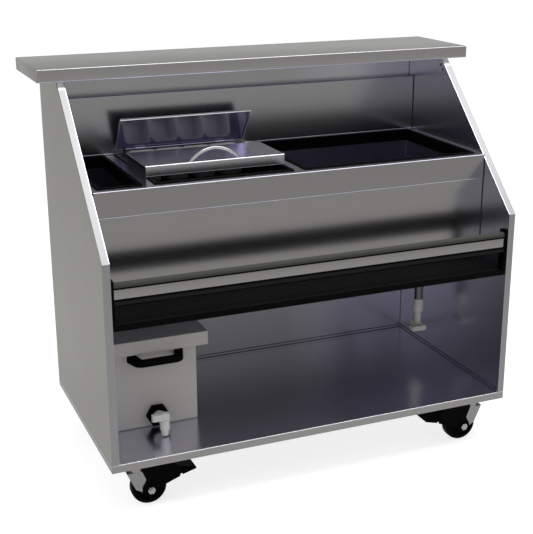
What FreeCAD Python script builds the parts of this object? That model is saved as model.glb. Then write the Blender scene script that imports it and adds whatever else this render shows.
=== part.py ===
"""Mobile bar on four casters: a folded stainless cabinet, open on the bartender's side.

Frame: millimetres, X along the counter, Y from the bartender (-) to the customer (+), Z up from the floor.
The origin lies on the floor under the middle of the bar.
"""

import FreeCAD
import Part

import math
import os

from FreeCAD import Vector

X_AXIS = Vector(1, 0, 0)
Y_AXIS = Vector(0, 1, 0)
Z_AXIS = Vector(0, 0, 1)
ORIGIN = Vector(0, 0, 0)

# Cabinet
BODY_WIDTH = 1219.0
BODY_DEPTH = 630.0
PANEL_THICKNESS = 21.0
PANEL_HEIGHT = 954.5
KNEE_HEIGHT = 555.5
SLANT_RUN = 407.0
REAR_WALL = 28.0
BASE_HEIGHT = 22.5
SHEET = 1.5
BEND_RADIUS = 2.0
HEM_HEIGHT = 8.0
HEM_THICKNESS = 2.0

# Counter
COUNTER_LENGTH = 1328.0
COUNTER_DEPTH = 294.0
COUNTER_THICKNESS = 35.0
COUNTER_BACK_OVERHANG = 50.0
COUNTER_HEM = 12.0
HEM_GAP = 0.5

# Work deck and backsplash
DECK_HEIGHT = 704.0
DECK_SETBACK = 142.0
DECK_FLANGE = 72.0
DECK_SIDE_GAP = 2.5
SPLASH_DROP = 76.5
SPLASH_LEDGE = 32.0

# Wells
LEFT_WELL_WIDTH = 126.0
MIDDLE_WELL_WIDTH = 404.0
WELL_SIDE_MARGIN = 17.0
WELL_STRIP = 31.0
WELL_FRONT_MARGIN = 29.0
WELL_BACK_MARGIN = 1.0
WELL_DEPTH = 250.0
RIM_WIDTH = 11.0
RIM_THICKNESS = 3.0
RIM_EDGE_RADIUS = 1.0
SKIRT_THICKNESS = 5.0
SKIRT_DEPTH = 32.0
CUT_CLEARANCE = 0.5
LINER_SHEET = 1.2
LINER_RADIUS = 6.0
JACKET_DROP = 275.0
JACKET_SHEET = 1.2

# Speed rail
RAIL_SETBACK = 5.0
RAIL_DEPTH = 20.0
RAIL_LIFT = 56.0
RAIL_HEIGHT = 58.0
RAIL_ROUND = 9.0
RAIL_WALL = 3.0
BAND_HEIGHT = 26.0
BAND_LIFT = 15.0
BAND_THICKNESS = 1.5
BAND_RECESS = 0.5
POST_THICKNESS = 8.0
POST_DEPTH = 27.0
POST_SETBACK = 3.0
POST_RISE = 7.0
TRAY_DROP = 59.5
TRAY_HEIGHT = 18.0
TRAY_WALL = 4.0
TRAY_SETBACK = 12.0
TRAY_RIBS = 9
TRAY_RIB_WIDTH = 3.0
TRAY_RIB_HEIGHT = 1.5
APRON_RETURN = 25.0

# Sliding cover of the middle well
COVER_DEPTH = 189.0
COVER_RISE = 33.0
COVER_SHEET = 1.5
COVER_SIDE_GAP = 0.5
SLIDE_GAP = 0.3
COVER_EDGE_RADIUS = 2.0
HANDLE_SPAN = 136.0
HANDLE_RISE = 36.0
HANDLE_ROD_RADIUS = 4.5
HANDLE_SETBACK = 18.0
HANDLE_FOOT_RADIUS = 8.0
HANDLE_FOOT_HEIGHT = 2.0

# Condiment holder and its lid
HOLDER_DEPTH = 130.0
HOLDER_BACK_GAP = 2.0
HOLDER_RISE = 10.0
HOLDER_SIDE_GAP = 1.0
PAN_COUNT = 4
PAN_PITCH = 84.0
PAN_WIDTH = 77.0
PAN_LENGTH = 104.0
PAN_FRONT_MARGIN = 9.0
PAN_DEPTH = 72.0
PAN_WALL = 1.8
PAN_DRAFT = 6.0
PAN_RADIUS = 17.0
PAN_RIM_WIDTH = 3.0
PAN_RIM_THICKNESS = 2.0
PAN_SEAT_GAP = 0.5
LID_LENGTH = 124.0
LID_FLANGE = 8.0
LID_OPEN_ANGLE = 55.0
HINGE_SETBACK = 8.0
HINGE_LIFT = 5.6
KNUCKLE_RADIUS = 5.0
KNUCKLE_LENGTH = 30.0
KNUCKLE_GAP = 0.6
HINGE_PIN_RADIUS = 2.5
RUNNING_CLEARANCE = 0.08

# Water tank
TANK_WIDTH = 244.0
TANK_DEPTH = 380.0
TANK_HEIGHT = 270.0
TANK_WALL = 4.0
TANK_RADIUS = 6.0
TANK_SETBACK = 188.0
TANK_LID_OVERHANG = 26.0
TANK_LID_SIDE_GAP = 15.0
TANK_LID_HEIGHT = 39.0
TANK_LID_WALL = 3.5
TANK_LID_RING_DEPTH = 8.0
TANK_LID_RING_GAP = 1.0
PULL_WIDTH = 164.0
PULL_REACH = 50.0
PULL_HEIGHT = 20.0
PULL_DROP = 11.6
PULL_FOOT = 27.0
PULL_GRIP = 15.0
PULL_OUTER_LEAN = 15.5
PULL_INNER_LEAN = 8.5
PULL_CORNER = 28.0
PULL_INNER_CORNER = 5.0
PULL_EDGE = 2.0

# Tap of the tank and of the drain
TAP_HEIGHT = 35.5
TAP_REACH = 71.0
TAP_SHANK_RADIUS = 11.0
TAP_INSIDE = 12.0
TAP_BULGE_RADIUS = 17.0
TAP_BULGE_LENGTH = 2.0
TAP_SHOULDER = 13.0
TAP_NECK_RADIUS = 10.5
TAP_BODY_RADIUS = 14.0
TAP_BODY_RISE = 13.5
TAP_BODY_DROP = 17.0
TAP_TIP_RADIUS = 11.0
TAP_TIP_TAPER = 0.8
TAP_TIP_LENGTH = 14.0
TAP_BORE_RADIUS = 6.0
TAP_BORE_DEPTH = 22.0
TAP_STEM_RADIUS = 6.0
TAP_STEM_LENGTH = 8.0
TAP_LEVER_LONG = 37.0
TAP_LEVER_SHORT = 15.0
TAP_LEVER_WIDTH = 15.0
TAP_LEVER_HEIGHT = 19.0
TAP_LEVER_RADIUS = 6.5
TAP_LEVER_GROOVE = 2.0
TAP_DOME_RADIUS = 9.5
TAP_DOME_RISE = 2.5
NUT_FLATS = 58.5
NUT_THICKNESS = 15.0
HOLE_CLEARANCE = 0.2

# Drain of the right well
DRAIN_FROM_SIDE = 62.5
DRAIN_FROM_FRONT = 180.0
DRAIN_PIPE_RADIUS = 13.5
DRAIN_PIPE_WALL = 2.0
DRAIN_VALVE_HEIGHT = 197.5
DRAIN_REACH = 91.0
DRAIN_BULGE_LENGTH = 22.0
STRAINER_RADIUS = 30.0
STRAINER_THICKNESS = 2.0
STRAINER_TAIL = 14.0
STRAINER_HOLES = 8
STRAINER_HOLE_RADIUS = 2.5
STRAINER_HOLE_CIRCLE = 7.0

# Casters
CASTER_HEIGHT = 138.0
CASTER_SIDE_INSET = 80.0
CASTER_END_INSET = 64.5
CASTER_TRAIL = 34.0
WHEEL_DIAMETER = 100.0
WHEEL_WIDTH = 38.0
WHEEL_ROUND = 7.0
WHEEL_RIM_DEPTH = 15.0
WHEEL_RECESS = 7.0
WHEEL_HUB_RADIUS = 15.0
AXLE_RADIUS = 6.0
AXLE_FLATS = 19.0
AXLE_NUT = 9.0
AXLE_END = 3.0
FORK_SHEET = 3.5
FORK_SIDE_GAP = 2.5
FORK_CROWN_LIFT = 4.0
FORK_BOSS_RADIUS = 17.0
FORK_KNEE = 41.0
FORK_KNEE_HEIGHT = 5.0
RACE_RADIUS = 30.0
RACE_GAP = 0.5
RACE_UPPER = 11.0
PLATE_LENGTH = 92.0
PLATE_WIDTH = 72.0
PLATE_THICKNESS = 3.0
PLATE_RADIUS = 8.0
PLATE_HOLE_LENGTH = 70.0
PLATE_HOLE_WIDTH = 50.0
KINGPIN_RADIUS = 7.0
KINGPIN_HEAD_RADIUS = 11.0
KINGPIN_HEAD = 4.0
BOLT_RADIUS = 4.0
BOLT_FLATS = 13.0
BOLT_HEAD = 5.5
BOLT_TAIL = 8.0
CHANNEL_WIDTH = 92.0
CHANNEL_FLANGE = 12.0
CHANNEL_SHEET = 2.5

# Caster brakes, measured from the axle, towards the trailing side
BRAKE_PLATE = 4.0
BRAKE_BOSS_RADIUS = 22.5
BRAKE_TOP = 68.0
BRAKE_WAIST = 10.0
BRAKE_WAIST_HEIGHT = 28.0
BRAKE_NOSE_REACH = 84.0
BRAKE_NOSE_HEIGHT = 22.5
BRAKE_PIVOT_REACH = 68.5
BRAKE_PIVOT_HEIGHT = 45.0
BRAKE_PIN_RADIUS = 4.0
BRAKE_HUB_RADIUS = 9.0
PEDAL_REACH = 131.5
PEDAL_TIP_HEIGHT = 37.0
PEDAL_THICKNESS = 4.0
PEDAL_SIDE_GAP = 0.5
PEDAL_NOSE_GAP = 8.0
SHOE_REACH = 17.3
SHOE_DROP = 26.0
SHOE_WIDTH = 24.0

# Panel screws
SCREW_HEAD_RADIUS = 4.5
SCREW_HEAD = 2.5
SCREW_BEVEL = 1.2
SCREW_RADIUS = 2.5
SCREW_LENGTH = 10.0
SCREW_EDGE_INSET = 15.0
SCREW_PITCH = 18.0
SCREW_TOP_DROP = 14.0

# Places that follow from the sizes above
HALF = BODY_WIDTH / 2
INNER = HALF - PANEL_THICKNESS
FRONT = -(BODY_DEPTH + COUNTER_BACK_OVERHANG) / 2
BACK = FRONT + BODY_DEPTH
BASE_LOW = CASTER_HEIGHT
FLOOR = BASE_LOW + BASE_HEIGHT
PANEL_TOP = FLOOR + PANEL_HEIGHT
KNEE = FLOOR + KNEE_HEIGHT
REAR_FACE = BACK - REAR_WALL
DECK_TOP = FLOOR + DECK_HEIGHT
DECK_UNDER = DECK_TOP - SHEET
DECK_FRONT = FRONT + DECK_SETBACK
DECK_HALF = INNER - DECK_SIDE_GAP
APRON_FACE = DECK_FRONT + SHEET
JACKET_FACE = APRON_FACE + SHEET
SPLASH_FACE = REAR_FACE - SPLASH_LEDGE
SPLASH_TOP = PANEL_TOP - SPLASH_DROP
RIM_TOP = DECK_TOP + RIM_THICKNESS
SKIRT_LOW = DECK_TOP - SKIRT_DEPTH
SKIRT_INSET = RIM_WIDTH - SKIRT_THICKNESS
WELL_FLOOR = DECK_TOP - WELL_DEPTH
JACKET_LOW = DECK_TOP - JACKET_DROP
TRAY_BOTTOM = JACKET_LOW - TRAY_DROP
TRAY_TOP = TRAY_BOTTOM + TRAY_HEIGHT
RAIL_BOTTOM = TRAY_TOP + RAIL_LIFT
RAIL_TOP = RAIL_BOTTOM + RAIL_HEIGHT

LEFT_WELL_X = (-INNER + WELL_SIDE_MARGIN, -INNER + WELL_SIDE_MARGIN + LEFT_WELL_WIDTH)
MIDDLE_WELL_X = (LEFT_WELL_X[1] + WELL_STRIP, LEFT_WELL_X[1] + WELL_STRIP + MIDDLE_WELL_WIDTH)
RIGHT_WELL_X = (MIDDLE_WELL_X[1] + WELL_STRIP, INNER - WELL_SIDE_MARGIN)
WELLS_X = {"left": LEFT_WELL_X, "middle": MIDDLE_WELL_X, "right": RIGHT_WELL_X}
WELL_Y = (DECK_FRONT + WELL_FRONT_MARGIN, SPLASH_FACE - WELL_BACK_MARGIN)
MIDDLE_X = sum(MIDDLE_WELL_X) / 2

HOLDER_Y = (WELL_Y[1] - HOLDER_BACK_GAP - HOLDER_DEPTH, WELL_Y[1] - HOLDER_BACK_GAP)
HOLDER_TOP = DECK_TOP + HOLDER_RISE
HOLDER_HALF = MIDDLE_WELL_WIDTH / 2 - HOLDER_SIDE_GAP
HINGE_Y = SPLASH_FACE - HINGE_SETBACK
HINGE_Z = HOLDER_TOP + HINGE_LIFT
COVER_Y = (HOLDER_Y[0] - 2 * HOLDER_BACK_GAP - COVER_DEPTH, HOLDER_Y[0] - 2 * HOLDER_BACK_GAP)
COVER_TOP = DECK_TOP + COVER_RISE
COVER_HALF = MIDDLE_WELL_WIDTH / 2 + COVER_SIDE_GAP + COVER_SHEET

TANK_X = (
    -INNER + TANK_LID_SIDE_GAP + TANK_LID_OVERHANG,
    -INNER + TANK_LID_SIDE_GAP + TANK_LID_OVERHANG + TANK_WIDTH,
)
TANK_Y = (FRONT + TANK_SETBACK, FRONT + TANK_SETBACK + TANK_DEPTH)
TANK_LOW = FLOOR + SLIDE_GAP
TANK_TOP = TANK_LOW + TANK_HEIGHT
TANK_MIDDLE = sum(TANK_X) / 2
TANK_LID_TOP = TANK_TOP + SLIDE_GAP + TANK_LID_WALL
TANK_LID_LOW = TANK_LID_TOP - TANK_LID_HEIGHT
PULL_TOP = TANK_LID_LOW - PULL_DROP
PULL_LOW = PULL_TOP - PULL_HEIGHT
PULL_BACK = TANK_Y[0] - PULL_REACH + PULL_GRIP
PULL_INNER_HALF = PULL_WIDTH / 2 - PULL_FOOT
TAP_Z = FLOOR + TAP_HEIGHT

DRAIN_X = RIGHT_WELL_X[1] - DRAIN_FROM_SIDE
DRAIN_Y = WELL_Y[0] + DRAIN_FROM_FRONT
DRAIN_TOP = WELL_FLOOR - STRAINER_TAIL
DRAIN_LOW = FLOOR + DRAIN_VALVE_HEIGHT

WHEEL_RADIUS = WHEEL_DIAMETER / 2
PLATE_LOW = CASTER_HEIGHT - PLATE_THICKNESS
CROWN_LOW = WHEEL_DIAMETER + FORK_CROWN_LIFT
CROWN_TOP = CROWN_LOW + FORK_SHEET
RACE_SPLIT = PLATE_LOW - RACE_UPPER
FORK_INNER_HALF = WHEEL_WIDTH / 2 + FORK_SIDE_GAP
FORK_OUTER_HALF = FORK_INNER_HALF + FORK_SHEET
BRAKE_OUTER_HALF = FORK_OUTER_HALF + BRAKE_PLATE
CASTER_X = HALF - CASTER_SIDE_INSET
CASTER_Y = (FRONT + CASTER_END_INSET, BACK - CASTER_END_INSET)
# name: side of the swivel along X, place of the swivel along Y, turn about the swivel, braked
CASTERS = {
    "front_left": (-CASTER_X, CASTER_Y[0], 0.0, True),
    "front_right": (CASTER_X, CASTER_Y[0], 180.0, True),
    "rear_left": (-CASTER_X, CASTER_Y[1], 0.0, False),
    "rear_right": (CASTER_X, CASTER_Y[1], 180.0, False),
}


def block(x, y, z):
    """Box between two places on each axis."""
    size = (x[1] - x[0], y[1] - y[0], z[1] - z[0])
    return Part.makeBox(*size, Vector(x[0], y[0], z[0]))


def inset(span, amount):
    """Span drawn in by an amount at both ends."""
    return (span[0] + amount, span[1] - amount)


def is_along(axis):
    """Test for straight edges that run along an axis."""

    def test(edge):
        if edge.Curve.TypeId != "Part::GeomLine":
            return False
        return abs(edge.tangentAt(edge.FirstParameter).dot(axis)) > 0.999

    return test


def lies_at(axis, place):
    """Test for edges that lie in one plane across an axis."""

    def test(edge):
        return all(abs(vertex.Point.dot(axis) - place) < 1e-6 for vertex in edge.Vertexes)

    return test


def both(first, second):
    """Test for edges that pass two tests."""
    return lambda edge: first(edge) and second(edge)


def rounded(shape, radius, *tests):
    """Shape with a fillet on every edge that passes one of the tests."""
    edges = [edge for edge in shape.Edges if any(test(edge) for test in tests)]
    return shape.makeFillet(radius, edges)


def bevelled(shape, size, *tests):
    """Shape with a chamfer on every edge that passes one of the tests."""
    edges = [edge for edge in shape.Edges if any(test(edge) for test in tests)]
    return shape.makeChamfer(size, edges)


def tub(x, y, z, wall, radius):
    """Open-topped vessel of one wall thickness with round upright corners and floor edges."""
    upright = is_along(Z_AXIS)
    outer = rounded(block(x, y, z), radius, upright, lies_at(Z_AXIS, z[0]))
    hollow = block(inset(x, wall), inset(y, wall), (z[0] + wall, z[1] + radius))
    hollow = rounded(hollow, radius - wall, upright, lies_at(Z_AXIS, z[0] + wall))
    return outer.cut(hollow)


def rod(start, axis, radius, length):
    """Round bar from a start point along an axis."""
    return Part.makeCylinder(radius, length, start, axis)


def cone(start, axis, radius, end_radius, length):
    """Tapered round bar from a start point along an axis."""
    return Part.makeCone(radius, end_radius, length, start, axis)


def hexagon(start, axis, flats, length):
    """Hexagonal bar with two corners along X, or along Y for an upright one."""
    corner = flats / math.sqrt(3)
    first = X_AXIS if abs(axis.dot(X_AXIS)) < 0.5 and abs(axis.dot(Y_AXIS)) > 0.5 else Y_AXIS
    second = axis.cross(first)
    points = []
    for step in range(6):
        angle = math.radians(60 * step)
        points.append(start + first * (corner * math.cos(angle)) + second * (corner * math.sin(angle)))
    points.append(points[0])
    return Part.Face(Part.makePolygon(points)).extrude(axis * length)


def outline_face(outline, at):
    """Flat face inside an outline of number pairs, each put in its place by at.

    A step of two pairs is an arc through the first pair to the second.
    """
    edges = []
    here = outline[0]
    for step in outline[1:] + [outline[0]]:
        if isinstance(step[0], tuple):
            edges.append(Part.Arc(at(here), at(step[0]), at(step[1])).toShape())
            here = step[1]
        else:
            edges.append(Part.makeLine(at(here), at(step)))
            here = step
    return Part.Face(Part.Wire(edges))


def slab(outline, place, axis, length):
    """Outline extruded along an axis: (Y, Z) pairs for the X axis and (X, Z) pairs for the Y axis."""

    def at(pair):
        if axis == X_AXIS:
            return Vector(place, pair[0], pair[1])
        return Vector(pair[0], place, pair[1])

    return outline_face(outline, at).extrude(axis * length)


def mirrored(shape):
    """Shape on the other end of the bar."""
    return shape.mirror(ORIGIN, X_AXIS)


def rounded_rectangle(x, y, z, radius):
    """Level closed wire of a rectangle with round corners."""
    centres = ((x[1], y[1]), (x[0], y[1]), (x[0], y[0]), (x[1], y[0]))
    signs = ((-1, -1), (1, -1), (1, 1), (-1, 1))
    arcs = []
    for turn, (corner, sign) in enumerate(zip(centres, signs)):
        centre = Vector(corner[0] + sign[0] * radius, corner[1] + sign[1] * radius, z)
        start = math.radians(90 * turn)
        circle = Part.Circle(centre, Z_AXIS, radius)
        arcs.append(Part.ArcOfCircle(circle, start, start + math.pi / 2).toShape())
    edges = []
    for arc, following in zip(arcs, arcs[1:] + arcs[:1]):
        edges.append(arc)
        edges.append(Part.makeLine(arc.Vertexes[-1].Point, following.Vertexes[0].Point))
    return Part.Wire(edges)


def screw_places():
    """Screw centres (Y, Z) in a row beside the slanted edge, under the counter."""
    rise = PANEL_TOP - KNEE
    length = math.hypot(SLANT_RUN, rise)
    along = (SLANT_RUN / length, rise / length)
    inward = (along[1], -along[0])
    start = (FRONT + SLANT_RUN, PANEL_TOP)
    places = []
    for step in range(2):
        down = SCREW_TOP_DROP + step * SCREW_PITCH
        places.append(
            (
                start[0] - along[0] * down + inward[0] * SCREW_EDGE_INSET,
                start[1] - along[1] * down + inward[1] * SCREW_EDGE_INSET,
            )
        )
    return places


def side_panel_outline():
    """Side panel seen from its end: upright front, slanted shoulder, upright back."""
    return [
        (FRONT, FLOOR),
        (FRONT, KNEE),
        (FRONT + SLANT_RUN, PANEL_TOP),
        (BACK, PANEL_TOP),
        (BACK, FLOOR),
    ]


def make_base():
    """Folded base pan and the two channels under it that carry the casters."""
    x = (-HALF, HALF)
    y = (FRONT, BACK)
    pan = block(x, y, (BASE_LOW, FLOOR))
    pan = rounded(pan, BEND_RADIUS, is_along(Z_AXIS), lies_at(Z_AXIS, FLOOR))
    pan = pan.cut(block(inset(x, SHEET), inset(y, SHEET), (BASE_LOW - SHEET, FLOOR - SHEET)))

    under = FLOOR - SHEET
    half = CHANNEL_WIDTH / 2
    reach = half + CHANNEL_FLANGE
    channels = []
    for middle in CASTER_Y:
        hat = [
            (middle - reach, under),
            (middle - reach, under - CHANNEL_SHEET),
            (middle - half, under - CHANNEL_SHEET),
            (middle - half, BASE_LOW),
            (middle + half, BASE_LOW),
            (middle + half, under - CHANNEL_SHEET),
            (middle + reach, under - CHANNEL_SHEET),
            (middle + reach, under),
            (middle + half - CHANNEL_SHEET, under),
            (middle + half - CHANNEL_SHEET, BASE_LOW + CHANNEL_SHEET),
            (middle - half + CHANNEL_SHEET, BASE_LOW + CHANNEL_SHEET),
            (middle - half + CHANNEL_SHEET, under),
        ]
        channels.append(slab(hat, -HALF + SHEET, X_AXIS, BODY_WIDTH - 2 * SHEET))
    channels = Part.makeCompound(channels)
    for shank in bolt_places():
        channels = channels.cut(rod(shank, Z_AXIS, BOLT_RADIUS + HOLE_CLEARANCE, BASE_HEIGHT))
    return {"base_pan": pan, "base_channels": channels}


def make_side_panels():
    """Side panels: a folded outer pan closed by an inner liner, with screws under the counter."""
    face = outline_face(side_panel_outline(), lambda pair: Vector(-HALF, pair[0], pair[1]))
    pan = face.extrude(X_AXIS * (PANEL_THICKNESS - SHEET))
    pan = rounded(pan, BEND_RADIUS, lies_at(X_AXIS, -HALF))
    drawn_in = Part.Face(face.OuterWire.makeOffset2D(-SHEET))
    drawn_in.translate(X_AXIS * SHEET)
    pan = pan.cut(drawn_in.extrude(X_AXIS * PANEL_THICKNESS))

    liner = face.extrude(X_AXIS * SHEET)
    liner.translate(X_AXIS * (PANEL_THICKNESS - SHEET))
    hem_x = (-INNER, -INNER + HEM_THICKNESS)
    hem = block(hem_x, (FRONT + SHEET, REAR_FACE), (FLOOR, FLOOR + HEM_HEIGHT))
    liner = liner.fuse(hem).removeSplitter()

    screws = []
    for y, z in screw_places():
        seat = Vector(-INNER, y, z)
        liner = liner.cut(rod(seat, -X_AXIS, SCREW_RADIUS + HOLE_CLEARANCE, SHEET))
        head = rod(seat, X_AXIS, SCREW_HEAD_RADIUS, SCREW_HEAD)
        head = bevelled(head, SCREW_BEVEL, lies_at(X_AXIS, -INNER + SCREW_HEAD))
        screws.append(head.fuse(rod(seat, -X_AXIS, SCREW_RADIUS, SCREW_LENGTH)))
    screws += [mirrored(screw) for screw in screws]
    return {
        "left_panel": pan,
        "left_liner": liner,
        "right_panel": mirrored(pan),
        "right_liner": mirrored(liner),
        "panel_screws": Part.makeCompound(screws),
    }


def make_rear_wall():
    """Customer side: a folded pan outside and a flat liner inside, hemmed at the floor."""
    x = (-INNER, INNER)
    z = (FLOOR, PANEL_TOP)
    seam = REAR_FACE + SHEET
    pan = block(x, (seam, BACK), z)
    pan = pan.cut(block(inset(x, SHEET), (seam - SHEET, BACK - SHEET), inset(z, SHEET)))
    liner = block(x, (REAR_FACE, seam), z)
    hem_y = (REAR_FACE - HEM_THICKNESS, REAR_FACE)
    hem = block(inset(x, HEM_THICKNESS), hem_y, (FLOOR, FLOOR + HEM_HEIGHT))
    return {"customer_panel": pan, "rear_liner": liner.fuse(hem).removeSplitter()}


def make_counter():
    """Counter: a folded stainless top hemmed under a board core."""
    x = (-COUNTER_LENGTH / 2, COUNTER_LENGTH / 2)
    back = BACK + COUNTER_BACK_OVERHANG
    y = (back - COUNTER_DEPTH, back)
    z = (PANEL_TOP, PANEL_TOP + COUNTER_THICKNESS)
    inside = (inset(x, SHEET), inset(y, SHEET), inset(z, SHEET))
    window = SHEET + COUNTER_HEM
    top = rounded(block(x, y, z), BEND_RADIUS, is_along(Z_AXIS), lies_at(Z_AXIS, z[1]))
    top = top.cut(block(*inside))
    top = top.cut(block(inset(x, window), inset(y, window), (z[0] - SHEET, z[0] + 2 * SHEET)))
    plug = window + HEM_GAP
    core = block(*inside).fuse(block(inset(x, plug), inset(y, plug), (z[0], z[0] + 2 * SHEET)))
    return {"counter_top": top, "counter_core": core.removeSplitter()}


def make_deck():
    """Work deck with its well cut-outs and front flange, the backsplash and the apron below."""
    x = (-DECK_HALF, DECK_HALF)
    y = (DECK_FRONT, SPLASH_FACE + SHEET)
    low = DECK_TOP - DECK_FLANGE
    past_ends = inset(x, -SHEET)
    deck = block(x, y, (low, DECK_TOP))
    deck = rounded(deck, BEND_RADIUS, both(lies_at(Y_AXIS, y[0]), lies_at(Z_AXIS, DECK_TOP)))
    deck = deck.cut(block(past_ends, (y[0] + SHEET, y[1] + SHEET), (low - SHEET, DECK_UNDER)))
    margin = SKIRT_INSET - CUT_CLEARANCE
    through = (DECK_UNDER - SHEET, DECK_TOP + SHEET)
    for well_x in WELLS_X.values():
        deck = deck.cut(block(inset(well_x, margin), inset(WELL_Y, margin), through))

    splash = block(x, (SPLASH_FACE, REAR_FACE), (DECK_TOP, SPLASH_TOP))
    crest = both(lies_at(Y_AXIS, SPLASH_FACE), lies_at(Z_AXIS, SPLASH_TOP))
    splash = rounded(splash, BEND_RADIUS, crest)
    behind = (SPLASH_FACE + SHEET, REAR_FACE + SHEET)
    splash = splash.cut(block(past_ends, behind, (DECK_TOP - SHEET, SPLASH_TOP - SHEET)))

    apron = block(x, (APRON_FACE, APRON_FACE + APRON_RETURN), (TRAY_BOTTOM, DECK_UNDER))
    behind = (JACKET_FACE, APRON_FACE + 2 * APRON_RETURN)
    apron = apron.cut(block(past_ends, behind, (TRAY_BOTTOM + SHEET, DECK_TOP)))
    return {"work_deck": deck, "backsplash": splash, "front_apron": apron}


def make_wells():
    """Three insulated wells: black collars, stainless liners, foam and the jacket around it."""
    parts = {}
    jacket_x = (-INNER, INNER)
    jacket_y = (JACKET_FACE, REAR_FACE)
    jacket_z = (JACKET_LOW, DECK_UNDER)
    foam_x = inset(jacket_x, JACKET_SHEET)
    foam_y = inset(jacket_y, JACKET_SHEET)
    jacket = block(jacket_x, jacket_y, jacket_z)
    jacket = jacket.cut(block(foam_x, foam_y, (JACKET_LOW + JACKET_SHEET, DECK_TOP)))
    foam = block(foam_x, foam_y, (JACKET_LOW + JACKET_SHEET, DECK_UNDER))
    upright = is_along(Z_AXIS)
    floor = WELL_FLOOR - LINER_SHEET
    pocket = SKIRT_INSET - CUT_CLEARANCE
    through = (SKIRT_LOW - SHEET, RIM_TOP + SHEET)
    skirt_y = inset(WELL_Y, SKIRT_INSET)
    for name, x in WELLS_X.items():
        rim = block(x, WELL_Y, (DECK_TOP, RIM_TOP))
        rim = rounded(rim, RIM_EDGE_RADIUS, upright, lies_at(Z_AXIS, RIM_TOP))
        skirt_x = inset(x, SKIRT_INSET)
        skirt = block(skirt_x, skirt_y, (SKIRT_LOW, DECK_TOP))
        mouth = block(inset(x, RIM_WIDTH), inset(WELL_Y, RIM_WIDTH), through)
        parts[f"{name}_well_collar"] = rim.fuse(skirt).cut(mouth).removeSplitter()

        bowl = tub(skirt_x, skirt_y, (floor, SKIRT_LOW), LINER_SHEET, LINER_RADIUS)
        parts[f"{name}_well_liner"] = bowl
        foam = foam.cut(block(inset(x, pocket), inset(WELL_Y, pocket), (floor, DECK_TOP)))

    drop = Vector(DRAIN_X, DRAIN_Y, JACKET_LOW - JACKET_SHEET)
    hole = rod(drop, Z_AXIS, DRAIN_PIPE_RADIUS + HOLE_CLEARANCE, WELL_DEPTH)
    parts["right_well_liner"] = parts["right_well_liner"].cut(hole)
    parts["bin_insulation"] = foam.cut(hole)
    parts["bin_jacket"] = jacket.cut(hole)
    return parts


def make_rail():
    """Speed rail: a ribbed tray, a hollow front bar with a stainless band, and two end posts."""
    y = (FRONT + TRAY_SETBACK, APRON_FACE)
    lengthways = is_along(X_AXIS)
    tray = block((-INNER, INNER), y, (TRAY_BOTTOM, TRAY_TOP))
    tray = rounded(tray, BEND_RADIUS, both(lies_at(Y_AXIS, y[0]), lengthways))
    under = (TRAY_BOTTOM - TRAY_WALL, TRAY_TOP - TRAY_WALL)
    tray = tray.cut(block((-INNER - SHEET, INNER + SHEET), inset(y, TRAY_WALL), under))
    post_y = (FRONT + POST_SETBACK, FRONT + POST_SETBACK + POST_DEPTH)
    rib_y = (post_y[1] + TRAY_RIB_WIDTH, y[1] - TRAY_RIB_WIDTH)
    pitch = (rib_y[1] - rib_y[0] - TRAY_RIB_WIDTH) / (TRAY_RIBS - 1)
    for step in range(TRAY_RIBS):
        start = rib_y[0] + step * pitch
        rib = (start, start + TRAY_RIB_WIDTH)
        tray = tray.fuse(block((-INNER, INNER), rib, (TRAY_TOP, TRAY_TOP + TRAY_RIB_HEIGHT)))
    tray = tray.removeSplitter()

    bar_half = INNER - POST_THICKNESS
    face = FRONT + RAIL_SETBACK
    back = face + RAIL_DEPTH
    band_z = (RAIL_BOTTOM + BAND_LIFT, RAIL_BOTTOM + BAND_LIFT + BAND_HEIGHT)
    bar = block((-bar_half, bar_half), (face, back), (RAIL_BOTTOM, RAIL_TOP))
    bar = rounded(bar, RAIL_ROUND, both(lies_at(Z_AXIS, RAIL_TOP), lengthways))
    groove = BAND_THICKNESS + BAND_RECESS
    bar = bar.cut(block((-INNER, INNER), (face - groove, face + groove), band_z))
    bore = block(
        (-INNER, INNER),
        (face + groove + RAIL_WALL, back - RAIL_WALL),
        (RAIL_BOTTOM + RAIL_WALL, RAIL_TOP - RAIL_ROUND),
    )
    bar = bar.cut(bore)
    band = block((-bar_half, bar_half), (face + BAND_RECESS, face + groove), band_z)

    post_top = RAIL_TOP + POST_RISE
    post = block((-INNER, -bar_half), post_y, (TRAY_TOP, post_top))
    post = rounded(post, POST_THICKNESS / 2, both(lies_at(Z_AXIS, post_top), lengthways))
    return {
        "rail_tray": tray,
        "rail_bar": bar,
        "rail_band": band,
        "rail_posts": Part.makeCompound([post, mirrored(post)]),
    }


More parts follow.
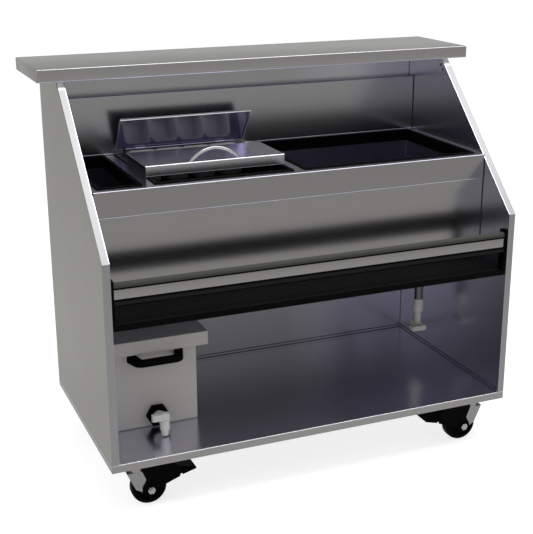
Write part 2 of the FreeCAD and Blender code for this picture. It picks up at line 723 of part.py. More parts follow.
def make_cover():
    """Sliding cover that straddles the middle collar, with an arched rod handle."""
    x = (MIDDLE_X - COVER_HALF, MIDDLE_X + COVER_HALF)
    low = DECK_TOP + SLIDE_GAP
    cover = block(x, COVER_Y, (low, COVER_TOP))
    cover = rounded(cover, COVER_EDGE_RADIUS, is_along(Z_AXIS), lies_at(Z_AXIS, COVER_TOP))
    inside_x = inset(x, COVER_SHEET)
    inside_z = (low - SHEET, COVER_TOP - COVER_SHEET)
    over_rim = (low - SHEET, RIM_TOP + SLIDE_GAP)
    cover = cover.cut(block(inside_x, inset(COVER_Y, COVER_SHEET), inside_z))
    cover = cover.cut(block(inside_x, inset(COVER_Y, -COVER_SHEET), over_rim))

    y = COVER_Y[0] + HANDLE_SETBACK
    half = HANDLE_SPAN / 2
    left = Vector(MIDDLE_X - half, y, COVER_TOP)
    right = Vector(MIDDLE_X + half, y, COVER_TOP)
    crown = Vector(MIDDLE_X, y, COVER_TOP + HANDLE_RISE - HANDLE_ROD_RADIUS)
    bow = Part.Arc(left, crown, right)
    start = bow.tangent(bow.FirstParameter)[0]
    ring = Part.Wire(Part.Circle(left, start, HANDLE_ROD_RADIUS).toShape())
    handle = Part.Wire(bow.toShape()).makePipeShell([ring], True, True)
    trim = half + HANDLE_ROD_RADIUS * 2
    below = block((MIDDLE_X - trim, MIDDLE_X + trim), (y - trim, y + trim), (COVER_TOP - trim, COVER_TOP))
    handle = handle.cut(below)
    for foot in (left, right):
        handle = handle.fuse(rod(foot, Z_AXIS, HANDLE_FOOT_RADIUS, HANDLE_FOOT_HEIGHT))
    return {"bin_cover": cover, "cover_handle": handle.removeSplitter()}


def pan_spans():
    """Places of the condiment pans along X, and their shared place along Y."""
    first = MIDDLE_X - PAN_PITCH * (PAN_COUNT - 1) / 2
    middles = [first + PAN_PITCH * step for step in range(PAN_COUNT)]
    y = (HOLDER_Y[0] + PAN_FRONT_MARGIN, HOLDER_Y[0] + PAN_FRONT_MARGIN + PAN_LENGTH)
    return [((middle - PAN_WIDTH / 2, middle + PAN_WIDTH / 2), y) for middle in middles]


def make_pan(x, y):
    """Tapered pan with a rim that hangs on the holder."""

    def body(shrink, low, high):
        mouth = rounded_rectangle(inset(x, shrink), inset(y, shrink), high, PAN_RADIUS - shrink)
        drawn_in = shrink + PAN_DRAFT
        floor = rounded_rectangle(inset(x, drawn_in), inset(y, drawn_in), low, PAN_RADIUS - shrink)
        return Part.makeLoft([floor, mouth], True, True)

    low = HOLDER_TOP - PAN_DEPTH
    lip = HOLDER_TOP + PAN_RIM_THICKNESS
    rim_x = inset(x, -PAN_RIM_WIDTH)
    rim_y = inset(y, -PAN_RIM_WIDTH)
    rim = Part.Face(rounded_rectangle(rim_x, rim_y, HOLDER_TOP, PAN_RADIUS))
    solid = body(0.0, low, HOLDER_TOP).fuse(rim.extrude(Z_AXIS * PAN_RIM_THICKNESS))
    return solid.cut(body(PAN_WALL, low + PAN_WALL, lip + PAN_WALL)).removeSplitter()


def knuckle_places():
    """Hinge knuckles along X: (start of the fixed one, start of the lid's one) at each end."""
    reach = HOLDER_HALF - KNUCKLE_LENGTH
    pitch = KNUCKLE_LENGTH + KNUCKLE_GAP
    return [
        (MIDDLE_X - reach, MIDDLE_X - reach + pitch),
        (MIDDLE_X + reach - KNUCKLE_LENGTH, MIDDLE_X + reach - KNUCKLE_LENGTH - pitch),
    ]


def make_condiments():
    """Condiment holder with its pans, the hinge pin and the lid, opened to its resting angle."""
    x = (MIDDLE_X - HOLDER_HALF, MIDDLE_X + HOLDER_HALF)
    holder = block(x, HOLDER_Y, (RIM_TOP, HOLDER_TOP))
    holder = rounded(holder, BEND_RADIUS, is_along(Z_AXIS))
    inside_z = (RIM_TOP - SHEET, HOLDER_TOP - SHEET)
    holder = holder.cut(block(inset(x, SHEET), inset(HOLDER_Y, SHEET), inside_z))
    seat = -PAN_SEAT_GAP
    pans = []
    for pan_x, pan_y in pan_spans():
        hole = rounded_rectangle(inset(pan_x, seat), inset(pan_y, seat), RIM_TOP, PAN_RADIUS)
        holder = holder.cut(Part.Face(hole).extrude(Z_AXIS * HOLDER_RISE))
        pans.append(make_pan(pan_x, pan_y))

    sheet_top = HINGE_Z + KNUCKLE_RADIUS
    lid_y = (HINGE_Y - LID_LENGTH, HINGE_Y)
    lid = block(x, lid_y, (sheet_top - LID_FLANGE, sheet_top))
    lid = rounded(lid, BEND_RADIUS, lies_at(Y_AXIS, lid_y[0]))
    inside_y = (lid_y[0] + SHEET, lid_y[1] + SHEET)
    inside_z = (sheet_top - 2 * LID_FLANGE, sheet_top - SHEET)
    lid = lid.cut(block(inset(x, SHEET), inside_y, inside_z))
    room = KNUCKLE_RADIUS + KNUCKLE_GAP
    room_y = (HINGE_Y - room, HINGE_Y + room)
    lid = lid.cut(block(inset(x, -SHEET), room_y, (HINGE_Z - room, sheet_top - SHEET)))

    length = KNUCKLE_LENGTH
    stand_y = (HINGE_Y - KNUCKLE_RADIUS, HINGE_Y + SHEET)
    for fixed, moving in knuckle_places():
        span = (fixed, fixed + length)
        barrel = rod(Vector(fixed, HINGE_Y, HINGE_Z), X_AXIS, KNUCKLE_RADIUS, length)
        stand = block(span, stand_y, (HOLDER_TOP - SHEET, HINGE_Z))
        holder = holder.fuse(barrel.fuse(stand))
        lid = lid.cut(block(inset(span, -KNUCKLE_GAP), room_y, (HINGE_Z, sheet_top + SHEET)))
        lid = lid.fuse(rod(Vector(moving, HINGE_Y, HINGE_Z), X_AXIS, KNUCKLE_RADIUS, length))
    pin_start = Vector(knuckle_places()[0][0], HINGE_Y, HINGE_Z)
    pin_length = knuckle_places()[1][0] + length - pin_start.x
    pin = rod(pin_start, X_AXIS, HINGE_PIN_RADIUS, pin_length)
    bore = HINGE_PIN_RADIUS + RUNNING_CLEARANCE
    hole = rod(pin_start - X_AXIS * length, X_AXIS, bore, pin_length + 2 * length)
    holder = holder.removeSplitter().cut(pin)
    lid = lid.removeSplitter().cut(hole)
    lid.rotate(Vector(MIDDLE_X, HINGE_Y, HINGE_Z), X_AXIS, -LID_OPEN_ANGLE)
    return {
        "condiment_holder": holder,
        "condiment_pans": Part.makeCompound(pans),
        "lid_hinge_pin": pin,
        "condiment_lid": lid,
    }


def make_tap(reach, bulge_length):
    """Barrel tap at the origin: the barrel runs along -Y, the spout points down, the lever stands on top.

    The barrel comes out of a wall at Y = 0 and reaches to the spout's axis, with a bulge behind its nut.
    Returns the body and the lever.
    """
    start = ORIGIN - Y_AXIS * NUT_THICKNESS
    bulge = rod(start, -Y_AXIS, TAP_BULGE_RADIUS, bulge_length)
    shoulder = start - Y_AXIS * bulge_length
    taper = cone(shoulder, -Y_AXIS, TAP_BULGE_RADIUS, TAP_NECK_RADIUS, TAP_SHOULDER)
    body = bulge.fuse(taper).fuse(rod(ORIGIN, -Y_AXIS, TAP_NECK_RADIUS, reach))
    top = Vector(0, -reach, TAP_BODY_RISE)
    column = rod(top, -Z_AXIS, TAP_BODY_RADIUS, TAP_BODY_RISE + TAP_BODY_DROP)
    column_ends = (lies_at(Z_AXIS, TAP_BODY_RISE), lies_at(Z_AXIS, -TAP_BODY_DROP))
    tip_top = Vector(0, -reach, -TAP_BODY_DROP)
    tip = cone(tip_top, -Z_AXIS, TAP_TIP_RADIUS, TAP_TIP_RADIUS - TAP_TIP_TAPER, TAP_TIP_LENGTH)
    body = body.fuse(bevelled(column, BEND_RADIUS, *column_ends)).fuse(tip)
    outlet = tip_top - Z_AXIS * TAP_TIP_LENGTH
    body = body.cut(rod(outlet, Z_AXIS, TAP_BORE_RADIUS, TAP_BORE_DEPTH))
    socket_low = top - Z_AXIS * TAP_STEM_LENGTH
    body = body.cut(rod(socket_low, Z_AXIS, TAP_STEM_RADIUS + RUNNING_CLEARANCE, TAP_STEM_LENGTH))

    low = TAP_BODY_RISE + SLIDE_GAP
    high = low + TAP_LEVER_HEIGHT
    half = TAP_LEVER_WIDTH / 2
    lever = block((-TAP_LEVER_LONG, TAP_LEVER_SHORT), (-reach - half, -reach + half), (low, high))
    lever = rounded(lever, TAP_LEVER_RADIUS, is_along(Z_AXIS))
    groove = TAP_LEVER_GROOVE
    crease = [(-reach - groove, high), (-reach, high - groove), (-reach + groove, high)]
    lever = lever.cut(slab(crease, -TAP_LEVER_LONG, X_AXIS, TAP_LEVER_LONG + TAP_LEVER_SHORT))
    dome_top = high + TAP_DOME_RISE
    dome = rod(Vector(0, -reach, low), Z_AXIS, TAP_DOME_RADIUS, dome_top - low)
    dome = bevelled(dome, TAP_DOME_RISE, lies_at(Z_AXIS, dome_top))
    stem_low = socket_low + Z_AXIS * SLIDE_GAP
    stem = rod(stem_low, Z_AXIS, TAP_STEM_RADIUS, low - stem_low.z)
    return body.removeSplitter(), lever.fuse(dome).fuse(stem).removeSplitter()


def make_pull():
    """Fixed pull handle on the tank's front: two feet that lean inwards and a grip across them."""
    half = PULL_WIDTH / 2
    inner = PULL_INNER_HALF
    face = TANK_Y[0]
    root = face + PULL_EDGE
    grip = face - PULL_REACH
    outline = [
        (-half, root),
        (-half + PULL_OUTER_LEAN, grip),
        (half - PULL_OUTER_LEAN, grip),
        (half, root),
        (inner, root),
        (inner - PULL_INNER_LEAN, PULL_BACK),
        (-inner + PULL_INNER_LEAN, PULL_BACK),
        (-inner, root),
    ]
    plan = outline_face(outline, lambda pair: Vector(TANK_MIDDLE + pair[0], pair[1], PULL_LOW))
    pull = plan.extrude(Z_AXIS * PULL_HEIGHT)
    upright = is_along(Z_AXIS)
    pull = rounded(pull, PULL_CORNER, both(upright, lies_at(Y_AXIS, grip)))
    pull = rounded(pull, PULL_INNER_CORNER, both(upright, lies_at(Y_AXIS, PULL_BACK)))
    pull = bevelled(pull, PULL_EDGE, lies_at(Z_AXIS, PULL_LOW), lies_at(Z_AXIS, PULL_TOP))
    behind_x = inset((TANK_MIDDLE - half, TANK_MIDDLE + half), -PULL_EDGE)
    return pull.cut(block(behind_x, (face, root + PULL_EDGE), (PULL_LOW, PULL_TOP)))


def make_tank():
    """Removable water tank: vessel, lid, pull handle, tap with its nut."""
    z = (TANK_LOW, TANK_TOP)
    vessel = tub(TANK_X, TANK_Y, z, TANK_WALL, TANK_RADIUS)

    lid_x = inset(TANK_X, -TANK_LID_OVERHANG)
    lid_y = inset(TANK_Y, -TANK_LID_OVERHANG)
    lid_z = (TANK_LID_LOW, TANK_LID_TOP)
    upright = is_along(Z_AXIS)
    lid = rounded(block(lid_x, lid_y, lid_z), BEND_RADIUS, upright, lies_at(Z_AXIS, TANK_LID_TOP))
    under = TANK_LID_TOP - TANK_LID_WALL
    wall = TANK_LID_WALL
    lid = lid.cut(block(inset(lid_x, wall), inset(lid_y, wall), (TANK_LID_LOW - wall, under)))
    ring_gap = TANK_WALL + TANK_LID_RING_GAP
    ring_low = under - TANK_LID_RING_DEPTH
    ring = block(inset(TANK_X, ring_gap), inset(TANK_Y, ring_gap), (ring_low, under))
    ring = rounded(ring, TANK_RADIUS - TANK_WALL, upright)
    core_gap = ring_gap + wall
    ring = ring.cut(block(inset(TANK_X, core_gap), inset(TANK_Y, core_gap), (ring_low - wall, under)))
    lid = lid.fuse(ring).removeSplitter()

    place = Vector(TANK_MIDDLE, TANK_Y[0], TAP_Z)
    body, lever = make_tap(TAP_REACH, TAP_BULGE_LENGTH)
    inside = TANK_WALL + TAP_INSIDE
    shank = rod(Y_AXIS * inside, -Y_AXIS, TAP_SHANK_RADIUS, inside + NUT_THICKNESS)
    body = body.fuse(shank).removeSplitter()
    body.translate(place)
    lever.translate(place)
    hole_start = place - Y_AXIS * NUT_THICKNESS
    hole_radius = TAP_SHANK_RADIUS + HOLE_CLEARANCE
    hole = rod(hole_start, Y_AXIS, hole_radius, NUT_THICKNESS + 2 * TANK_WALL)
    nut = hexagon(place, -Y_AXIS, NUT_FLATS, NUT_THICKNESS)
    return {
        "tank_body": vessel.cut(hole),
        "tank_lid": lid,
        "tank_handle": make_pull(),
        "tap_body": body,
        "tap_nut": nut.cut(hole),
        "tap_handle": lever,
    }


def make_drain():
    """Drain of the right well: strainer, pipe and a tap turned to face the bartender."""
    seat = Vector(DRAIN_X, DRAIN_Y, WELL_FLOOR)
    strainer = rod(seat, Z_AXIS, STRAINER_RADIUS, STRAINER_THICKNESS)
    strainer = strainer.fuse(rod(seat, -Z_AXIS, DRAIN_PIPE_RADIUS, STRAINER_TAIL))
    bore = DRAIN_PIPE_RADIUS - DRAIN_PIPE_WALL
    strainer = strainer.cut(rod(seat - Z_AXIS * STRAINER_TAIL, Z_AXIS, bore, STRAINER_TAIL))
    for step in range(STRAINER_HOLES):
        angle = 2 * math.pi * step / STRAINER_HOLES
        offset = Vector(math.cos(angle), math.sin(angle), 0) * STRAINER_HOLE_CIRCLE
        strainer = strainer.cut(rod(seat + offset, Z_AXIS, STRAINER_HOLE_RADIUS, STRAINER_THICKNESS))

    foot = Vector(DRAIN_X, DRAIN_Y, DRAIN_LOW)
    length = DRAIN_TOP - DRAIN_LOW
    pipe = rod(foot, Z_AXIS, DRAIN_PIPE_RADIUS, length).cut(rod(foot, Z_AXIS, bore, length))

    body, lever = make_tap(DRAIN_REACH, DRAIN_BULGE_LENGTH)
    socket = rod(ORIGIN, -Y_AXIS, TAP_BULGE_RADIUS - SHEET, NUT_THICKNESS)
    body = body.fuse(socket).removeSplitter()
    for piece in (body, lever):
        piece.rotate(ORIGIN, X_AXIS, 90)
        piece.translate(foot)
    return {"drain_strainer": strainer, "drain_pipe": pipe, "drain_tap": body, "drain_handle": lever}


def caster_bolt_offsets():
    """Bolt places on a caster plate, from its swivel."""
    half_x = PLATE_HOLE_LENGTH / 2
    half_y = PLATE_HOLE_WIDTH / 2
    return [Vector(x, y, 0) for x in (-half_x, half_x) for y in (-half_y, half_y)]


def bolt_places():
    """Undersides of all caster plates at their bolts."""
    places = []
    for x, y, _turn, _braked in CASTERS.values():
        places += [Vector(x, y, PLATE_LOW) + offset for offset in caster_bolt_offsets()]
    return places


def make_caster_plate():
    """Top plate with its upper race and riveted king pin, about the swivel."""
    half_x = PLATE_LENGTH / 2
    half_y = PLATE_WIDTH / 2
    plate = block((-half_x, half_x), (-half_y, half_y), (PLATE_LOW, CASTER_HEIGHT))
    plate = rounded(plate, PLATE_RADIUS, is_along(Z_AXIS))
    hole_radius = BOLT_RADIUS + HOLE_CLEARANCE
    for offset in caster_bolt_offsets():
        plate = plate.cut(rod(offset + Z_AXIS * PLATE_LOW, Z_AXIS, hole_radius, PLATE_THICKNESS))
    race = rod(Z_AXIS * PLATE_LOW, -Z_AXIS, RACE_RADIUS, RACE_UPPER)
    race = bevelled(race, BEND_RADIUS, lies_at(Z_AXIS, RACE_SPLIT))
    head_top = CROWN_LOW - RACE_GAP
    pin = rod(Z_AXIS * head_top, Z_AXIS, KINGPIN_RADIUS, PLATE_LOW - head_top)
    head = cone(Z_AXIS * head_top, -Z_AXIS, KINGPIN_HEAD_RADIUS, KINGPIN_RADIUS, KINGPIN_HEAD)
    return plate.fuse(race).fuse(pin).fuse(head).removeSplitter()


def make_fork():
    """Swivel fork: crown, two legs with axle bosses and the lower race, trailing towards +X."""
    axle = CASTER_TRAIL
    boss = FORK_BOSS_RADIUS
    slope = boss * math.sqrt(0.5)
    outline = [
        (-RACE_RADIUS, CROWN_TOP),
        (axle - FORK_KNEE, WHEEL_RADIUS + FORK_KNEE_HEIGHT),
        (axle - slope, WHEEL_RADIUS - slope),
        ((axle, WHEEL_RADIUS - boss), (axle + boss, WHEEL_RADIUS)),
        (axle + boss, CROWN_LOW - boss),
        (axle + 2 * boss, CROWN_LOW),
        (axle + 2 * boss, CROWN_TOP),
    ]
    width = 2 * FORK_OUTER_HALF
    fork = slab(outline, -FORK_OUTER_HALF, Y_AXIS, width)
    crown_edges = both(lies_at(Z_AXIS, CROWN_TOP), is_along(X_AXIS))
    fork = rounded(fork, FORK_SHEET - SLIDE_GAP, crown_edges)
    reach = 2 * PLATE_LENGTH
    fork = fork.cut(block((-reach, reach), (-FORK_INNER_HALF, FORK_INNER_HALF), (-WHEEL_RADIUS, CROWN_LOW)))
    race = rod(Z_AXIS * CROWN_LOW, Z_AXIS, RACE_RADIUS - FORK_SHEET, RACE_SPLIT - RACE_GAP - CROWN_LOW)
    fork = fork.fuse(race)
    fork = fork.cut(rod(Z_AXIS * CROWN_LOW, Z_AXIS, KINGPIN_RADIUS + RUNNING_CLEARANCE, CASTER_HEIGHT))
    hole = Vector(axle, -FORK_OUTER_HALF, WHEEL_RADIUS)
    return fork.removeSplitter().cut(rod(hole, Y_AXIS, AXLE_RADIUS, width))


def make_wheel():
    """Black wheel with a rounded tread, dished sides and a hub that fills the fork."""
    half = WHEEL_WIDTH / 2
    hub = FORK_INNER_HALF - SLIDE_GAP
    bore = AXLE_RADIUS + RUNNING_CLEARANCE
    rim = WHEEL_RADIUS - WHEEL_RIM_DEPTH
    dish = half - WHEEL_RECESS
    shoulder = WHEEL_RADIUS - WHEEL_ROUND
    bend = WHEEL_ROUND * math.sqrt(0.5)
    near = (half - WHEEL_ROUND + bend, shoulder + bend)
    outline = [
        (bore, -hub),
        (WHEEL_HUB_RADIUS, -hub),
        (WHEEL_HUB_RADIUS + SHEET, -dish),
        (rim - SHEET, -dish),
        (rim, -half),
        (shoulder, -half),
        ((near[1], -near[0]), (WHEEL_RADIUS, -half + WHEEL_ROUND)),
        (WHEEL_RADIUS, half - WHEEL_ROUND),
        ((near[1], near[0]), (shoulder, half)),
        (rim, half),
        (rim - SHEET, dish),
        (WHEEL_HUB_RADIUS + SHEET, dish),
        (WHEEL_HUB_RADIUS, hub),
        (bore, hub),
    ]
    section = outline_face(outline, lambda pair: Vector(pair[0], pair[1], 0))
    wheel = section.revolve(ORIGIN, Y_AXIS, 360)
    wheel.translate(Vector(CASTER_TRAIL, 0, WHEEL_RADIUS))
    return wheel


def make_axle(braked):
    """Axle bolt with its head on one side of the fork and a nut on the other."""
    half = BRAKE_OUTER_HALF if braked else FORK_OUTER_HALF
    middle = Vector(CASTER_TRAIL, 0, WHEEL_RADIUS)
    thread = AXLE_NUT + AXLE_END
    shank = rod(middle - Y_AXIS * (half + thread), Y_AXIS, AXLE_RADIUS, 2 * half + thread)
    nut = hexagon(middle - Y_AXIS * half, -Y_AXIS, AXLE_FLATS, AXLE_NUT)
    head = hexagon(middle + Y_AXIS * half, Y_AXIS, AXLE_FLATS, AXLE_NUT)
    return shank.fuse(nut).fuse(head).removeSplitter()


def make_brake():
    """Brake housing over both fork legs, and the pedal with its shoe that turns between them."""
    axle_x = CASTER_TRAIL
    axle_z = WHEEL_RADIUS
    boss = BRAKE_BOSS_RADIUS

    def at(reach, height):
        return (axle_x + reach, axle_z + height)

    slope = math.sqrt(0.5)
    nose_crown = BRAKE_PIVOT_HEIGHT + BRAKE_PIN_RADIUS
    outline = [
        at(-boss, BRAKE_TOP),
        at(-boss, BRAKE_TOP - BRAKE_HUB_RADIUS),
        at(-BRAKE_WAIST, BRAKE_WAIST_HEIGHT),
        at(-boss * slope, boss * slope),
        (at(-boss * slope, -boss * slope), at(boss * slope, -boss * slope)),
        at(boss, 0),
        at(BRAKE_NOSE_REACH, BRAKE_NOSE_HEIGHT),
        (at(BRAKE_NOSE_REACH, nose_crown), at(BRAKE_PIVOT_REACH, BRAKE_TOP)),
    ]
    housing = slab(outline, -BRAKE_OUTER_HALF, Y_AXIS, 2 * BRAKE_OUTER_HALF)
    span = (axle_x - 2 * boss, axle_x + 2 * BRAKE_NOSE_REACH)
    gap = (-FORK_OUTER_HALF, FORK_OUTER_HALF)
    bridge_low = axle_z + BRAKE_TOP - BRAKE_PLATE
    open_front = (span[0], axle_x + 2 * FORK_BOSS_RADIUS + BRAKE_PLATE)
    housing = housing.cut(block(span, gap, (-axle_z, bridge_low)))
    housing = housing.cut(block(open_front, gap, (-axle_z, CASTER_HEIGHT)))
    axle_hole = Vector(axle_x, -BRAKE_OUTER_HALF, axle_z)
    housing = housing.cut(rod(axle_hole, Y_AXIS, AXLE_RADIUS, 2 * BRAKE_OUTER_HALF))

    race_room = rod(Z_AXIS * CROWN_LOW, Z_AXIS, RACE_RADIUS, CASTER_HEIGHT - CROWN_LOW)
    housing = housing.cut(race_room)

    pivot = at(BRAKE_PIVOT_REACH, BRAKE_PIVOT_HEIGHT)
    pivot_start = Vector(pivot[0], -BRAKE_OUTER_HALF, pivot[1])
    pivot_radius = BRAKE_PIN_RADIUS + RUNNING_CLEARANCE
    housing = housing.cut(rod(pivot_start, Y_AXIS, pivot_radius, 2 * BRAKE_OUTER_HALF))

    inner = FORK_OUTER_HALF - PEDAL_SIDE_GAP
    hub = BRAKE_HUB_RADIUS
    arm = [
        (pivot[0], pivot[1] + hub),
        at(PEDAL_REACH, PEDAL_TIP_HEIGHT + PEDAL_THICKNESS),
        at(PEDAL_REACH, PEDAL_TIP_HEIGHT),
        at(BRAKE_NOSE_REACH, BRAKE_NOSE_HEIGHT + PEDAL_THICKNESS),
        (pivot[0], pivot[1] - hub),
    ]
    pedal = slab(arm, -inner, Y_AXIS, 2 * inner)
    outboard = [
        at(BRAKE_NOSE_REACH + PEDAL_NOSE_GAP, PEDAL_TIP_HEIGHT + PEDAL_THICKNESS),
        at(PEDAL_REACH, PEDAL_TIP_HEIGHT + PEDAL_THICKNESS),
        at(PEDAL_REACH, PEDAL_TIP_HEIGHT),
        at(BRAKE_NOSE_REACH + PEDAL_NOSE_GAP, BRAKE_NOSE_HEIGHT + PEDAL_THICKNESS),
    ]
    pedal = pedal.fuse(slab(outboard, -BRAKE_OUTER_HALF, Y_AXIS, 2 * BRAKE_OUTER_HALF))
    barrel = rod(Vector(pivot[0], -inner, pivot[1]), Y_AXIS, hub, 2 * inner)
    pin = rod(pivot_start, Y_AXIS, BRAKE_PIN_RADIUS, 2 * BRAKE_OUTER_HALF)
    length = math.hypot(SHOE_REACH, SHOE_DROP)
    across = (SHOE_DROP / length * BRAKE_PLATE, -SHOE_REACH / length * BRAKE_PLATE)
    tip = (pivot[0] - SHOE_REACH, pivot[1] - SHOE_DROP)
    shoe = [
        (pivot[0] - across[0], pivot[1] - across[1]),
        tip,
        (tip[0] + across[0], tip[1] + across[1]),
        (pivot[0] + across[0], pivot[1] + across[1]),
    ]
    shoe = slab(shoe, -SHOE_WIDTH / 2, Y_AXIS, SHOE_WIDTH)
    pedal = pedal.fuse(barrel).fuse(pin).fuse(shoe).removeSplitter()
    return housing, pedal


def make_casters():
    """Four swivel casters, the front two with brakes, set under the corners of the base."""
    parts = {}
    plates = []
    for name, (x, y, turn, braked) in CASTERS.items():
        pieces = {
            f"caster_fork_{name}": make_fork(),
            f"caster_wheel_{name}": make_wheel(),
            f"caster_axle_{name}": make_axle(braked),
        }
        if braked:
            housing, pedal = make_brake()
            pieces[f"brake_housing_{name}"] = housing
            pieces[f"brake_pedal_{name}"] = pedal
        plate = make_caster_plate()
        for piece in [plate, *pieces.values()]:
            piece.rotate(ORIGIN, Z_AXIS, turn)
            piece.translate(Vector(x, y, 0))
        plates.append(plate)
        parts.update(pieces)
    bolts = []
    for seat in bolt_places():
        head = hexagon(seat, -Z_AXIS, BOLT_FLATS, BOLT_HEAD)
        shank = rod(seat, Z_AXIS, BOLT_RADIUS, PLATE_THICKNESS + CHANNEL_SHEET + BOLT_TAIL)
        bolts.append(head.fuse(shank))
    parts["caster_plates"] = Part.makeCompound(plates)
    parts["caster_bolts"] = Part.makeCompound(bolts)
    return parts


def main():
    """Build every piece and write it under its name."""
    os.makedirs("parts", exist_ok=True)
    makers = (
        make_base,
        make_side_panels,
        make_rear_wall,
        make_counter,
        make_deck,
        make_wells,
        make_rail,
        make_cover,
        make_condiments,
        make_tank,
        make_drain,
        make_casters,
    )
    for maker in makers:
        for name, shape in maker().items():
            shape.exportStep(f"parts/{name}.step")


main()
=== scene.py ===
"""Looks of a mobile bar: finishes, small hardware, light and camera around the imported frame.

Lengths are metres in the frame's axes: X along the counter, Y from the bartender to the customers, Z up.
"""

from __future__ import annotations

import logging
import math
from abc import ABC, abstractmethod
from dataclasses import dataclass
from enum import Enum
from typing import Callable, Sequence, Union

import bpy
from mathutils import Matrix, Vector


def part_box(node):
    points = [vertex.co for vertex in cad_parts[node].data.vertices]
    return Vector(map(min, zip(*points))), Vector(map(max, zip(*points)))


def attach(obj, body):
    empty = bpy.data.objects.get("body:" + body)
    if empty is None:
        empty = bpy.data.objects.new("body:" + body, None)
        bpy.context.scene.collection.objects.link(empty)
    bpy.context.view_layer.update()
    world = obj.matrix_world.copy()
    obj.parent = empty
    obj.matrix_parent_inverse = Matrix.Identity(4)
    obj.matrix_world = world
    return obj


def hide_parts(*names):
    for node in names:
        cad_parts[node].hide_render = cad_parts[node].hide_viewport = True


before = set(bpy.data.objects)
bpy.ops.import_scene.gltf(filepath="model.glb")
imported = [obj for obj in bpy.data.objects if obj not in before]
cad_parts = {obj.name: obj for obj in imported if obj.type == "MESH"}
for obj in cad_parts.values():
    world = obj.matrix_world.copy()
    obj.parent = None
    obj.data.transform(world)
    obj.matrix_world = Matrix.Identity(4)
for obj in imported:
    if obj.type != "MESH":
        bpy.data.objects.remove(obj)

LOG = logging.getLogger("mobile_bar")

Colour = tuple[float, float, float]
Triple = tuple[float, float, float]
Pairs = Sequence[tuple[float, float]]
Chooser = Callable[[Vector, Vector], bool]

WHITE: Colour = (1.0, 1.0, 1.0)
NOISE_MIDDLE = 0.5
TEXTURE_PITCH = 0.0009

# Cosines from which an edge counts as running along an axis, and a face as square to it.
ALONG = 0.9
SQUARE = 0.99

# Segments of a round: a bend or bead, and a broken edge.
BEND_STEPS = 4
EDGE_STEPS = 3


class Signal:
    """Output of a node; arithmetic on it adds Math nodes."""

    def __init__(self, graph: Graph, socket: bpy.types.NodeSocket) -> None:
        """Wrap a socket.

        Args:
            graph: Node tree that holds the socket.
            socket: Output socket.
        """
        self.graph = graph
        self.socket = socket

    def _math(self, operation: str, first: Operand, second: Operand) -> Signal:
        """Add a Math node.

        Args:
            operation: Name of the operation.
            first: First operand.
            second: Second operand.

        Returns:
            The result.
        """
        return self.graph.node("ShaderNodeMath", {"operation": operation}, {0: first, 1: second})

    def __add__(self, other: Operand) -> Signal:
        """Sum."""
        return self._math("ADD", self, other)

    def __radd__(self, other: Operand) -> Signal:
        """Sum, the other way round."""
        return self._math("ADD", other, self)

    def __sub__(self, other: Operand) -> Signal:
        """Difference."""
        return self._math("SUBTRACT", self, other)

    def __rsub__(self, other: Operand) -> Signal:
        """Difference, the other way round."""
        return self._math("SUBTRACT", other, self)

    def __mul__(self, other: Operand) -> Signal:
        """Product."""
        return self._math("MULTIPLY", self, other)

    def __rmul__(self, other: Operand) -> Signal:
        """Product, the other way round."""
        return self._math("MULTIPLY", other, self)

    def most(self, other: Operand) -> Signal:
        """Larger of the two."""
        return self._math("MAXIMUM", self, other)

    def swing(self, width: float) -> Signal:
        """Noise as a swing of some width about zero."""
        return (self - NOISE_MIDDLE) * width


Operand = Union[Signal, float]


def shaded(colour: Colour, factor: float) -> Colour:
    """Colour made darker or lighter by a factor."""
    return (colour[0] * factor, colour[1] * factor, colour[2] * factor)


@dataclass(frozen=True)
class Pattern:
    """Noise: its features per metre along each axis, and its octaves."""

    scale: Triple
    detail: float


def even(per_metre: float, detail: float) -> Pattern:
    """Noise with the same features along all axes."""
    return Pattern((per_metre, per_metre, per_metre), detail)


